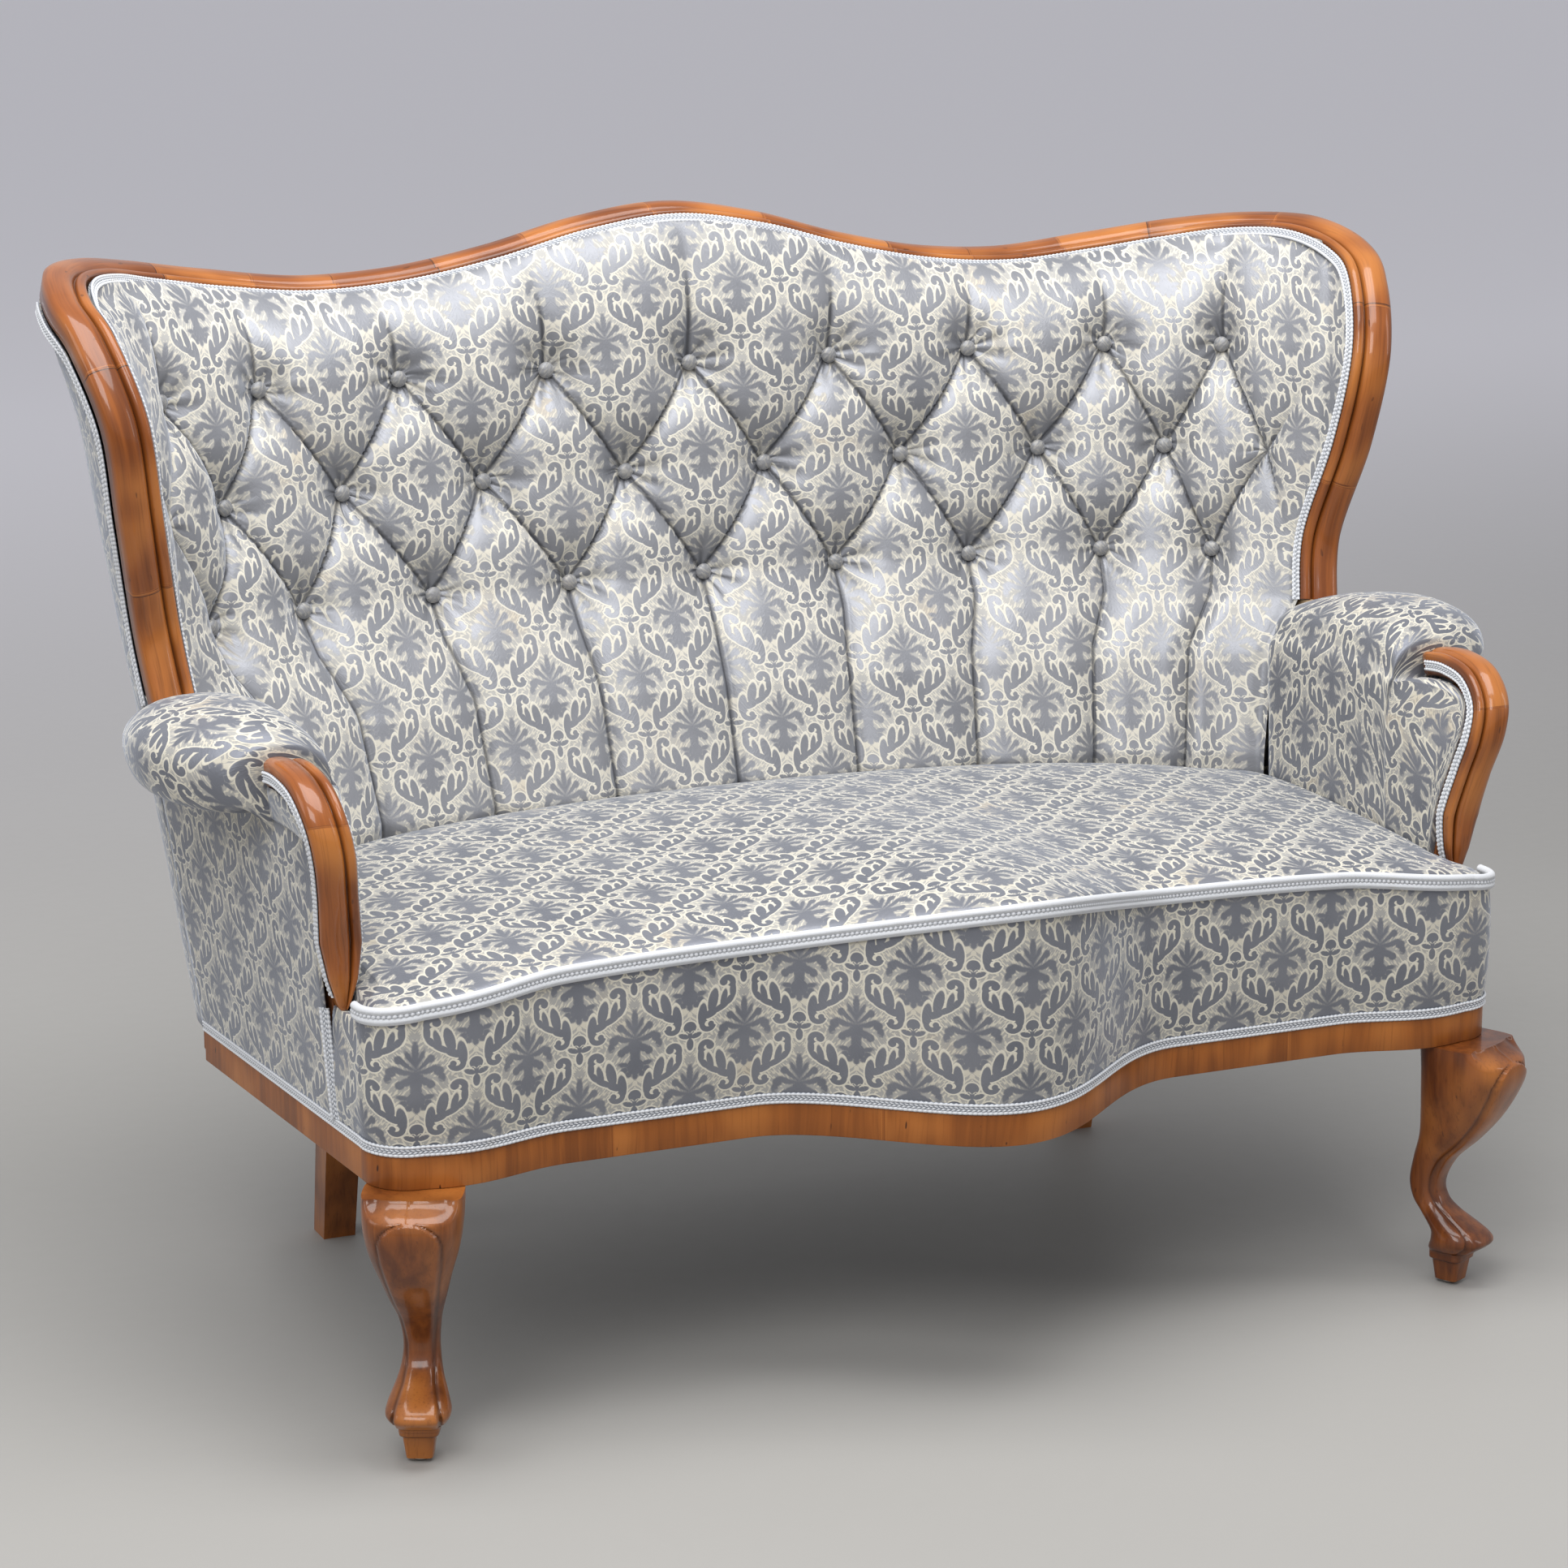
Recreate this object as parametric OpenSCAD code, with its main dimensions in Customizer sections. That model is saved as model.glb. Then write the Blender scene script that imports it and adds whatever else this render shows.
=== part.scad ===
// Cabriole sofa with a wave-shaped show-wood back, deep-buttoned inside, on cabriole legs.
// Millimetres, +Z up, the front faces -Y, the origin is on the floor at the middle of the plan.

/* [Overall] */
// Height of the crest at the middle
crest_h = 1046; // [1000:1:1090]
// How far the show-wood reaches out past the front corners of the seat, at its top corners
crest_overhang = 138; // [120:1:160]
// How far the crest's inner edge leans back behind the rear rail
crest_lean = 95; // [84:1:106]

/* [Seat frame] */
// Height of the underside of the seat rails
rail_z = 256; // [240:1:275]
// Height of the bare wood below the fabric
show_rail_h = 33; // [26:1:40]
// Whole height of the seat rails
rail_h = 85; // [75:1:95]
// Thickness of the front rail
rail_t = 28; // [24:1:34]
// Half width of the seat frame at the front corners
front_half_w = 585; // [565:1:605]
// How far the side rails spread from front to back
rear_flare = 28; // [20:1:36]
// How far the back end of the side rails lies behind the middle
side_end_y = 122; // [112:1:134]
// How far the middle of the rear rail lies behind the middle
rear_y = 297; // [289:1:307]
// How far the flat flanks of the front rail lie in front of the middle
front_y = 313; // [304:1:322]
// How far the belly swells forward of the flanks
belly_d = 122; // [90:1:130]
// Half width of the belly
belly_half_w = 225; // [200:1:240]
// How far the front swells again before each corner
shoulder_d = 20; // [10:1:24]
// Plan radius of the front corners
corner_r = 42; // [36:1:48]

/* [Legs] */
// How far the front feet stand in from the front corners
foot_inset = 37; // [30:1:46]
// How far the front feet stand forward of the flanks of the front rail
foot_forward = 2; // [0:0.5:4]
// Half width of the knee of a front leg
knee_half_w = 49; // [42:1:52]
// How far the rear feet stand in from the back ends of the side rails
rear_foot_inset = 176; // [164:1:190]
// How far the middle of the rear legs is set in from the back line of the seat
rear_leg_set = 32.88; // [30:0.01:36]
// How far the rear legs lean from rail to floor
rear_lean = 49; // [40:1:56]
// Width of a rear leg at the rail
rear_leg_w = 40; // [36:1:44]
// Width of a rear leg at the floor
rear_toe_w = 34; // [28:1:38]
// Diameter of the metal glide under each front foot
glide_d = 18; // [14:1:22]
// Height of each glide
glide_h = 4; // [3:0.5:5]

/* [Show-wood] */
// Width of the moulded show-wood
wood_w = 42; // [38:1:46]
// Thickness of the wood behind the moulding
wood_t = 20; // [17:1:24]
// Height of the beads of the moulding
bead_h = 9; // [6:0.5:11]
// Width of the moulded arm facings
facing_w = 38; // [34:1:42]
// Thickness of the arm facings behind their moulding
facing_t = 18; // [15:1:22]

/* [Seat] */
// Height of the seat's welt above the rails at the front corners
seat_edge_rise = 77; // [68:1:86]
// Rise of the welt from the corners to the flanks
seat_arch = 26; // [16:1:30]
// Further rise of the welt over the belly
belly_lift = 38; // [26:1:44]
// Rise of the seat from the front corners to the back
seat_rear_rise = 40; // [32:1:46]
// Crown of the seat above its edges
seat_crown = 18; // [10:1:24]
// Thickness of the front band of the seat
band_t = 10; // [8:1:12]
// Radius of each cord of the double welt
welt_r = 4.5; // [3.5:0.5:5]

/* [Back] */
// Height of the lowest row of buttons, as a share of the way from the seat to the crest
low_row_share = 0.352; // [0.33:0.001:0.37]
// Height between two rows of buttons, as a share of the same
row_step_share = 0.1854; // [0.17:0.0001:0.195]
// Diameter of the covered buttons
button_d = 17; // [14:1:19]
// Swell of the diamonds between the buttons
puff_h = 34; // [26:1:38]
// Swell of the pleated lower back
lumbar_h = 50; // [40:1:54]
// How far the sunk stuffing at the seat lies in front of the rear rail
pad_setback = 38; // [34:1:44]
// Thickness of the stuffing behind the buttons
back_pad_t = 12; // [10:1:14]

/* [Arms] */
// Height of the top of the arm pads above the back of the seat
arm_rise = 192; // [182:1:200]
// How far the arms' inner faces stand in from the front corners
arm_inset = 23; // [19:1:29]
// Reach of the arm rolls past the front corners
arm_overhang = 131; // [120:1:138]
// Height of the arm rolls
arm_roll_h = 84; // [76:1:92]

/* [Trim] */
// Width of the braid
braid_w = 11; // [9:1:13]
// Thickness of the braid
braid_t = 2; // [1.5:0.1:2.5]
// Thickness of the covered outside panels
panel_t = 6; // [5:0.5:7]
// Width of the webbing straps
strap_w = 50; // [46:1:54]
// Thickness of the webbing and the cloth linings
cloth_t = 1.5; // [1.2:0.1:2]

/* [Hidden] */

// Clearance of soft pieces from their neighbours
clear = 0.3;
// Overrun of cuts
over = 1;
wood = "sienna";
fabric = "lightslategray";
braid = "lightsteelblue";
linen = "tan";
steel = "silver";

// Small helpers
function mix(a, b, t) = a + (b - a) * t;
function clamp(v, lo, hi) = min(max(v, lo), hi);
function bump(t) = abs(t) < 1 ? (1 + cos(180 * t)) / 2 : 0;
function unit(v) = v / norm(v);
function flip(p) = [-p.x, p.y, p.z];

// Widths and depths that several pieces share
crest_half_w = front_half_w + crest_overhang;
crest_back_y = rear_y + crest_lean;
rear_half_w = front_half_w + rear_flare;
front_foot_x = front_half_w - foot_inset;
front_foot_y = front_y + foot_forward;
rear_foot_x = rear_half_w - rear_foot_inset;
arm_in_x = front_half_w - arm_inset;
arm_out_x = front_half_w + arm_overhang;

// Heights, stacked from the rails up
fabric_z = rail_z + show_rail_h;
rail_top = rail_z + rail_h;
cover_z = rail_top + cloth_t;
seat_edge_h = rail_top + seat_edge_rise;
seat_rear_h = seat_edge_h + seat_rear_rise;
arm_h = seat_rear_h + arm_rise;
arm_roll_z = arm_h - arm_roll_h;
low_row_h = mix(seat_rear_h, crest_h, low_row_share);
row_step = (crest_h - seat_rear_h) * row_step_share;
mid_row_h = low_row_h + row_step;
top_row_h = mid_row_h + row_step;
// Height at which the columns of the back are spaced along the crest
crest_dip_share = 0.869;
crest_dip_h = mix(arm_roll_z, crest_h, crest_dip_share);

// A smooth curve through points; the first point lies on the centre line where centred is true
function curve(p, u, centred = false) =
  let (n = len(p) - 1, s = clamp(u, 0, n - 0.00001), i = floor(s), t = s - i)
  let (a = i > 0 ? p[i - 1] : (centred ? flip(p[1]) : p[0]), b = p[i], c = p[i + 1], d = p[min(i + 2, n)])
  (2 * b + (c - a) * t + (2 * a - 5 * b + 4 * c - d) * t * t + (3 * b - a - 3 * c + d) * t * t * t) / 2;

// A solid skinned over rings with the same count of points, closed by zigzag caps
module skin(rings) {
  n = len(rings);
  m = len(rings[0]);
  last = (n - 1) * m;
  half = ceil(m / 2) - 1;
  sides = [for (i = [0:n - 2], j = [0:m - 1]) let (k = (j + 1) % m, a = i * m, b = a + m)
    each [[a + j, b + j, b + k], [a + j, b + k, a + k]]];
  zig = [for (i = [0:half]) let (a = i, b = i + 1, c = m - 1 - i, d = m - 2 - i)
    each [if (b < c) [a, b, c], if (b < d) [b, d, c]]];
  front = [for (f = zig) [f[0], f[1], f[2]]];
  back = [for (f = zig) [last + f[2], last + f[1], last + f[0]]];
  polyhedron([for (r = rings) each r], concat(front, sides, back));
}

// Plan of the seat frame

// The serpentine front, as a distance in front of the middle
shoulder_share = 0.863;
shoulder_width_share = 0.46;
shoulder_x = front_half_w * shoulder_share;
shoulder_half_w = belly_half_w * shoulder_width_share;
corner_x = front_half_w - corner_r;
function serpent(x) =
  front_y + belly_d * bump(x / belly_half_w) + shoulder_d * bump((abs(x) - shoulder_x) / shoulder_half_w);
corner_y = serpent(corner_x) - corner_r;
front_steps = 36;
corner_steps = 6;
// The front rail turns the corner and runs on a little way
corner_tail = 6;
side_start_y = corner_tail - corner_y;
// Right half of the front outline from the middle to its end on the side
front_half = concat(
  [for (i = [0:front_steps / 2]) let (x = corner_x * i / (front_steps / 2)) [x, -serpent(x)]],
  [for (i = [1:corner_steps]) let (a = 90 * i / corner_steps)
    [corner_x + corner_r * sin(a), -corner_y - corner_r * cos(a)]],
  [[front_half_w, side_start_y]]);
// The side lines run from there to the back ends of the side rails
side_dir = unit([rear_half_w - front_half_w, side_end_y - side_start_y]);
side_out = [side_dir.y, -side_dir.x];
function side_pt(t, off = 0) =
  [mix(front_half_w, rear_half_w, t), mix(side_start_y, side_end_y, t)] + side_out * off;
// The point at depth y on the side line moved outward by off
function side_at(y, off) = let (p = side_pt(0, off)) p + side_dir * (y - p.y) / side_dir.y;
// The rear line is a broad curve from side rail to side rail
rear_power = 2.8;
function rear_line(x) = side_end_y
  + (rear_y - side_end_y) * pow(max(1 - pow(min(abs(x) / rear_half_w, 1), rear_power), 0), 1 / rear_power);
function plan_normal(p, i) =
  let (a = p[max(i - 1, 0)], b = p[min(i + 1, len(p) - 1)], t = unit(b - a)) [t.y, -t.x];
// An outline moved outward by off, for lists that run from left to right along the front
function moved(p, off) = [for (i = [0:len(p) - 1]) p[i] + plan_normal(p, i) * off];
function mirrored(p) = [for (i = [len(p) - 1:-1:0]) [-p[i].x, p[i].y]];
function both(p) = concat(mirrored(p), [for (i = [1:len(p) - 1]) p[i]]);
function reversed(p) = [for (i = [len(p) - 1:-1:0]) p[i]];
front_outline = both(front_half);

// A strip of even thickness that follows an outline
module strip(p, out, in, z, h) {
  translate([0, 0, z])
    linear_extrude(h)
      polygon(concat(moved(p, out), reversed(moved(p, in))));
}

// Height of the seat's front edge
function edge_h(x) = seat_edge_h + seat_arch * (1 - pow(min(abs(x) / front_half_w, 1), 4))
  + belly_lift * bump(x / belly_half_w);

module front_rail() {
  color(wood) {
    strip(front_outline, 0, -rail_t, rail_z, show_rail_h);
    strip(front_outline, -band_t, -rail_t, fabric_z, rail_h - show_rail_h);
  }
}

module right_rail_board() {
  for (part = [[rail_z, show_rail_h, 0], [fabric_z, rail_h - show_rail_h, -panel_t]])
    translate([0, 0, part[0]])
      linear_extrude(part[1])
        polygon([side_at(side_start_y, part[2]), side_at(side_end_y, part[2]),
          side_at(side_end_y, -rail_t), side_at(side_start_y, -rail_t)]);
}
module left_side_rail() {
  color(wood) mirror([1, 0, 0]) right_rail_board();
}
module right_side_rail() {
  color(wood) right_rail_board();
}

// The rear rail runs between the back ends of the side rails, let in around the rear legs
rear_steps = 12;
rear_half = [for (i = [0:rear_steps]) let (x = rear_half_w * sin(90 * i / rear_steps)) [x, rear_line(x)]];
rear_outline = both(rear_half);
function inward(p, off) = moved(p, -off);
module rear_rail() {
  color(wood)
    difference() {
      translate([0, 0, rail_z])
        linear_extrude(rail_h)
          polygon(concat(inward(rear_outline, -panel_t),
            reversed(inward(rear_outline, -panel_t - rail_t))));
      for (s = [-1, 1])
        translate([s * rear_post_x, rear_post_y, rail_z + rail_h / 2])
          cube([rear_leg_w + 2 * clear, rear_leg_w + 2 * clear, rail_h + 2 * over], center = true);
      for (s = [-1, 1])
        translate([s * (rear_half_w - rail_t / 2), side_end_y - rail_t / 2, rail_z + rail_h / 2])
          cube([3 * rail_t, rail_t, rail_h + 2 * over], center = true);
    }
}
rear_post_x = rear_foot_x;
rear_post_y = rear_line(rear_post_x) - rear_leg_set;
rear_foot_y = rear_post_y + rear_lean;

// Triangular blocks glued and screwed into the four inner corners
block_w = 70;
block_t = 45;
block_z = rail_z + (rail_h - block_t) / 2;
screw_d = 5;
block_cut = corner_r - rail_t;
front_block_at = [front_half_w - rail_t - clear, clear + rail_t - corner_y - corner_r];
rear_block_at = [rear_post_x, rear_post_y - rear_leg_w / 2 - clear];
module block_outline() {
  polygon([[0, block_cut], [-block_cut, 0], [-block_w, 0], [0, block_w]]);
}
module corner_blocks() {
  color("burlywood")
    for (s = [0, 1])
      mirror([s, 0, 0])
        difference() {
          union() {
            translate([front_block_at.x, front_block_at.y, block_z])
              linear_extrude(block_t) block_outline();
            translate([rear_block_at.x + rear_leg_w / 2, rear_block_at.y, block_z])
              linear_extrude(block_t) mirror([0, 1, 0]) block_outline();
          }
          for (at = [front_block_at, rear_block_at + [rear_leg_w / 2, 0]], k = [0, 1]) {
            turn = at.y < 0 ? 0 : 1;
            mirror([0, turn, 0])
              translate([at.x, turn == 1 ? -at.y : at.y, block_z + block_t / 2])
                screw_place(k)
                  cylinder(d = screw_d, h = 2 * block_w, center = true, $fn = 24);
          }
        }
}
// Two screws cross each block at right angles to its long face
module screw_place(k) {
  translate([-block_w * (k == 0 ? 0.3 : 0.62), block_w * (k == 0 ? 0.62 : 0.3), 0])
    rotate([0, 90, 0])
      rotate([45, 0, 0])
        children();
}
module block_screws() {
  color(steel)
    for (s = [0, 1], at = [front_block_at, rear_block_at + [rear_leg_w / 2, 0]], k = [0, 1]) {
      turn = at.y < 0 ? 0 : 1;
      mirror([s, 0, 0])
        mirror([0, turn, 0])
          translate([at.x, turn == 1 ? -at.y : at.y, block_z + block_t / 2])
            screw_place(k)
              cylinder(d = screw_d - clear, h = block_w / 3, center = true, $fn = 24);
    }
}

// Front legs: rings lofted up a bent line, turned outward

leg_turn = 25;
// Each row: share of the height, share of the knee for bend, half depth and half width, squareness
leg_shares = [
  [0.000, 0.00, 0.25, 0.25, 6], [0.082, 0.00, 0.31, 0.31, 6], [0.090, 0.00, 0.37, 0.37, 5],
  [0.120, 0.01, 0.39, 0.40, 4], [0.140, 0.08, 0.47, 0.52, 3], [0.176, 0.20, 0.55, 0.60, 2.6],
  [0.215, 0.12, 0.50, 0.56, 2.6], [0.270, -0.26, 0.37, 0.43, 2.8], [0.320, -0.54, 0.31, 0.36, 3],
  [0.390, -0.64, 0.31, 0.34, 3], [0.490, -0.48, 0.38, 0.40, 3], [0.590, -0.16, 0.56, 0.53, 3],
  [0.690, 0.07, 0.75, 0.66, 3], [0.790, 0.23, 0.88, 0.81, 3], [0.880, 0.32, 0.96, 0.92, 3],
  [0.950, 0.29, 0.94, 0.98, 3], [1.000, 0.22, 0.88, 1.00, 3]
];
leg_sides = 20;
function squircle(a, rx, ry, n) =
  let (c = cos(a), s = sin(a), r = pow(pow(abs(c), n) + pow(abs(s), n), -1 / n)) [rx * c * r, ry * s * r];
function leg_ring(row) =
  let (h = mix(glide_h, rail_z, row[0]), k = knee_half_w)
  [for (j = [0:leg_sides - 1])
    let (p = squircle(360 * j / leg_sides + 180 / leg_sides, row[3] * k, row[2] * k, row[4])) [p.x,
      p.y - row[1] * k, h]];
module right_leg_at_place() {
  translate([front_foot_x, -front_foot_y, 0])
    rotate([0, 0, leg_turn])
      skin([for (row = leg_shares) leg_ring(row)]);
}
module left_front_leg() {
  color(wood) mirror([1, 0, 0]) right_leg_at_place();
}
module right_front_leg() {
  color(wood) right_leg_at_place();
}
module foot_glides() {
  color(steel)
    for (s = [-1, 1])
      translate([s * front_foot_x, -front_foot_y, 0])
        union() {
          cylinder(d1 = glide_d * 0.8, d2 = glide_d, h = glide_h / 2, $fn = 32);
          translate([0, 0, glide_h / 2]) cylinder(d = glide_d, h = glide_h / 2, $fn = 32);
        }
}

// The show-wood line

// Inner edge of the wood from the middle of the crest round the corner and down the wing,
// as shares of the half width, of the depth behind the middle, and of the way up from the
// underside of the arm rolls to the crest
edge_shares = [
  [0.000, 1.000, 0.9749], [0.138, 1.003, 0.9477], [0.277, 1.008, 0.8932], [0.415, 1.015, 0.8540],
  [0.553, 1.015, 0.8409], [0.685, 0.990, 0.8605], [0.795, 0.912, 0.8889], [0.871, 0.773, 0.9128],
  [0.924, 0.621, 0.9150], [0.942, 0.460, 0.8845], [0.931, 0.331, 0.8278], [0.906, 0.232, 0.6753],
  [0.887, 0.255, 0.4770], [0.862, 0.321, 0.2634], [0.849, 0.290, 0.1174]
];
edge_line = [for (s = edge_shares)
  [s[0] * crest_half_w, s[1] * crest_back_y, mix(arm_roll_z, crest_h, s[2])]];
// Where the wood's width points along that line: 90 is straight back, 0 is straight out
lie_shares = [90, 90, 90, 89, 86, 77, 60, 38, 14, 0, -5, -9, -9, -5, -5];
rise_shares = [8, 8, 8, 8, 10, 14, 16, 14, 12, 6, -4, -2, 0, 0, 0];
function at_list(p, u) =
  let (n = len(p) - 1, s = clamp(u, 0, n - 0.00001), i = floor(s)) mix(p[i], p[i + 1], s - i);
function wood_edge(u) = u < 0 ? flip(curve(edge_line, -u, true)) : curve(edge_line, u, true);
function wood_along(u) = unit(wood_edge(u + 0.05) - wood_edge(u - 0.05));
function wood_across_raw(u) =
  let (a = at_list(lie_shares, abs(u)), b = at_list(rise_shares, abs(u)),
    v = [cos(a) * cos(b), sin(a) * cos(b), sin(b)])
  u < 0 ? flip(v) : v;
function wood_across(u) =
  let (t = wood_along(u), v = wood_across_raw(u)) unit(v - t * (t * v));
function wood_face(u) = unit(cross(wood_along(u), wood_across(u)));
// Section of the moulding as shares of its width and of the bead's height: a narrow bead beside
// the braid, a groove, and a broad bead; the last points are the back, as shares of the thickness
bead_shares = [
  [0.00, 0.00], [0.03, 0.40], [0.12, 0.62], [0.21, 0.45], [0.26, 0.20], [0.33, 0.62], [0.47, 0.95],
  [0.64, 1.00], [0.82, 0.84], [0.94, 0.45], [1.00, 0.00]
];
back_shares = [[1.00, -0.75], [0.90, -1.00], [0.10, -1.00], [0.00, -0.75]];
function section(w, h, t) =
  concat([for (s = bead_shares) [s[0] * w, s[1] * h]], [for (s = back_shares) [s[0] * w, s[1] * t]]);
function wood_ring(u) =
  [for (p = section(wood_w, bead_h, wood_t)) wood_edge(u) + wood_across(u) * p.x + wood_face(u) * p.y];
module wood_piece(from, to, steps) {
  skin([for (i = [0:steps]) wood_ring(mix(from, to, i / steps))]);
}
centre_joint_steps = 2.6;
corner_joint_steps = 5.8;
stile_joint_steps = 10.4;
stile_end_steps = len(edge_shares) - 1;
module crest_centre() {
  color(wood) wood_piece(-centre_joint_steps, centre_joint_steps, 16);
}
module right_crest_rail() {
  color(wood) wood_piece(centre_joint_steps, corner_joint_steps, 9);
}
module left_crest_rail() {
  color(wood) mirror([1, 0, 0]) wood_piece(centre_joint_steps, corner_joint_steps, 9);
}
module right_crest_corner() {
  color(wood) wood_piece(corner_joint_steps, stile_joint_steps, 14);
}
module left_crest_corner() {
  color(wood) mirror([1, 0, 0]) wood_piece(corner_joint_steps, stile_joint_steps, 14);
}
module right_wing_stile() {
  color(wood) wood_piece(stile_joint_steps, stile_end_steps, 12);
}
module left_wing_stile() {
  color(wood) mirror([1, 0, 0]) wood_piece(stile_joint_steps, stile_end_steps, 12);
}

// Lining of the inside back: tables of the wood's inner edge by width and by height
crest_steps = 36;
wing_from_steps = 9;
crest_pts = [for (i = [0:crest_steps]) wood_edge(wing_from_steps * i / crest_steps)];
crest_z_table = [for (p = crest_pts) [p.x, p.z]];
crest_y_table = [for (p = crest_pts) [p.x, p.y]];
wing_steps = 20;
wing_pts = [for (i = [wing_steps:-1:0]) wood_edge(mix(wing_from_steps, stile_end_steps, i / wing_steps))];
wing_foot = wood_edge(stile_end_steps);
// Below the wing the back meets the inner face of the arm
seam_drop = 24;
seam_step = 18;
arm_seam_y = wing_foot.y - seam_drop;
wing_x_table = concat([[rail_top, arm_in_x], [seat_rear_h, arm_in_x], [arm_roll_z, arm_in_x + seam_step]],
  [for (p = wing_pts) [p.z, p.x]]);
wing_y_table = concat([[rail_top, arm_seam_y], [seat_rear_h, arm_seam_y],
  [arm_roll_z, arm_seam_y + seam_step]],
  [for (p = wing_pts) [p.z, p.y]]);

// Depth behind the middle of the plan of the sunk stuffing on the centre line, by height
low_sunk_share = 0.828;
mid_sunk_share = 0.884;
top_sunk_share = 0.919;
sunk_seat_y = rear_y - pad_setback;
sunk_low_y = crest_back_y * low_sunk_share;
sunk_mid_y = crest_back_y * mid_sunk_share;
sunk_top_y = crest_back_y * top_sunk_share;
sunk_table = [
  [rail_top, sunk_seat_y + back_pad_t], [seat_rear_h, sunk_seat_y], [low_row_h, sunk_low_y],
  [mid_row_h, sunk_mid_y], [top_row_h, sunk_top_y], [crest_h, crest_back_y]
];
power_table = [[seat_rear_h, 2.5], [low_row_h, 2.5], [mid_row_h, 2.9], [top_row_h, 3.4], [crest_h, 3.6]];
// Share of the half width at each whole column of buttons
column_shares = [0, 0.160, 0.333, 0.530, 0.745, 1];
columns = len(column_shares) - 1;
function column_share(c) = at_list(column_shares, abs(c)) * sign(c);
// The cover is as thin as cloth where it meets the wood, and lies clear of it
edge_gap = cloth_t + clear;
function column_x(c, z) = (lookup(z, wing_x_table) - edge_gap) * sin(90 * column_share(c));
function sunk_y(x, z) =
  let (w = lookup(z, wing_x_table) - edge_gap, n = lookup(z, power_table))
  let (y0 = lookup(z, wing_y_table), y1 = lookup(z, sunk_table))
  y0 + (y1 - y0) * pow(max(1 - pow(min(abs(x) / w, 1), n), 0), 1 / n);
// Height of the top edge of the lining over column c
function top_z(c) = lookup(min(abs(column_x(c, crest_dip_h)), crest_pts[crest_steps].x), crest_z_table);
// A point of the sunk surface; t is 0 at the foot and 1 at the crest
function sunk_pt(c, z) =
  let (zt = top_z(c), x = column_x(c, z), xt = abs(column_x(c, zt)),
    t = clamp((z - top_row_h) / (zt - top_row_h), 0, 1))
  let (lift = (lookup(xt, crest_y_table) - edge_gap - sunk_y(xt, zt)) * t * t)
  [x, sunk_y(x, z) + lift, z];
function sunk_normal(c, z) =
  let (e = 0.05, a = sunk_pt(clamp(c - e, -columns, columns), z),
    b = sunk_pt(clamp(c + e, -columns, columns), z), t = unit(b - a))
  [t.y, -t.x, 0];
// Swell of the stuffing: puffs in the diamonds between the buttons, pleats above and below them
fold_share = 0.45;
pit_share = 0.9;
pit_reach = 0.17;
function row_of(z) = (top_row_h - z) / row_step;
function button_gap(c, b) = min([for (r = [0:2]) let (d = c - r / 2) norm([d - round(d), (b - r) * 0.7])]);
function swell(c, z) =
  let (b = row_of(z), k = clamp(b, 0, 2), p = c + k / 2, q = c - k / 2)
  let (g = pow(abs(sin(180 * p) * sin(180 * q)), 0.4), low = clamp(b - 2, 0, 1), zt = top_z(c))
  let (high = clamp((z - top_row_h) / (zt - top_row_h), 0, 1),
    side = clamp((columns - 0.1 - abs(c)) * 1.3, 0, 1))
  let (size = mix(puff_h, lumbar_h, low) * sqrt(max(1 - pow(high, 2.2), 0)) * sqrt(side))
  let (keep = mix(fold_share, 1, g), pit = 1 - pit_share * exp(-pow(button_gap(c, b) / pit_reach, 2)))
  size * mix(keep, 1, high * 0.6) * pit;
function pad_pt(c, z, off) = sunk_pt(c, z) + sunk_normal(c, z) * off;
// Rows of the lining from the seat to the crest, as heights for column c
function row_heights(c) = concat(
  [cover_z + clear, seat_rear_h, mix(seat_rear_h, low_row_h, 0.4), mix(seat_rear_h, low_row_h, 0.75)],
  [for (k = [0:4]) low_row_h + row_step * k / 2],
  [for (t = [0.35, 0.7, 0.9, 1]) mix(top_row_h, top_z(c) - clear, t)]);
// The back of the stuffing runs straight from one half column to the next
function back_pt(c, z, off) =
  let (a = floor(2 * c) / 2, b = ceil(2 * c) / 2) (pad_pt(a, z, -off) + pad_pt(b, z, -off)) / 2;
edge_column = columns - 0.01;
thin_column = columns - 0.1;
function back_ring(c) =
  let (h = row_heights(c), n = len(h), edge = abs(c) >= thin_column)
  concat([for (z = h) pad_pt(c, z, swell(c, z))],
    [for (i = [n - 1:-1:0]) edge || i > n - 3 ? pad_pt(c, h[i], -cloth_t) : back_pt(c, h[i], back_pad_t)]);
pad_columns = concat([-edge_column, -thin_column], [for (i = [1 - 4 * columns:4 * columns - 1]) i / 4],
  [thin_column, edge_column]);
module back_cushion() {
  color(fabric) skin([for (c = pad_columns) back_ring(c)]);
}
lining_columns = [for (i = [1 - 2 * columns:2 * columns - 1]) i / 2];
lining_rows = 11;
function lining_ring(c) =
  let (h = row_heights(c))
  concat([for (i = [0:lining_rows - 1]) pad_pt(c, h[i], -back_pad_t - clear)],
    [for (i = [lining_rows - 1:-1:0]) pad_pt(c, h[i], -back_pad_t - clear - cloth_t)]);
module back_hessian() {
  color(linen) skin([for (c = lining_columns) lining_ring(c)]);
}
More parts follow.
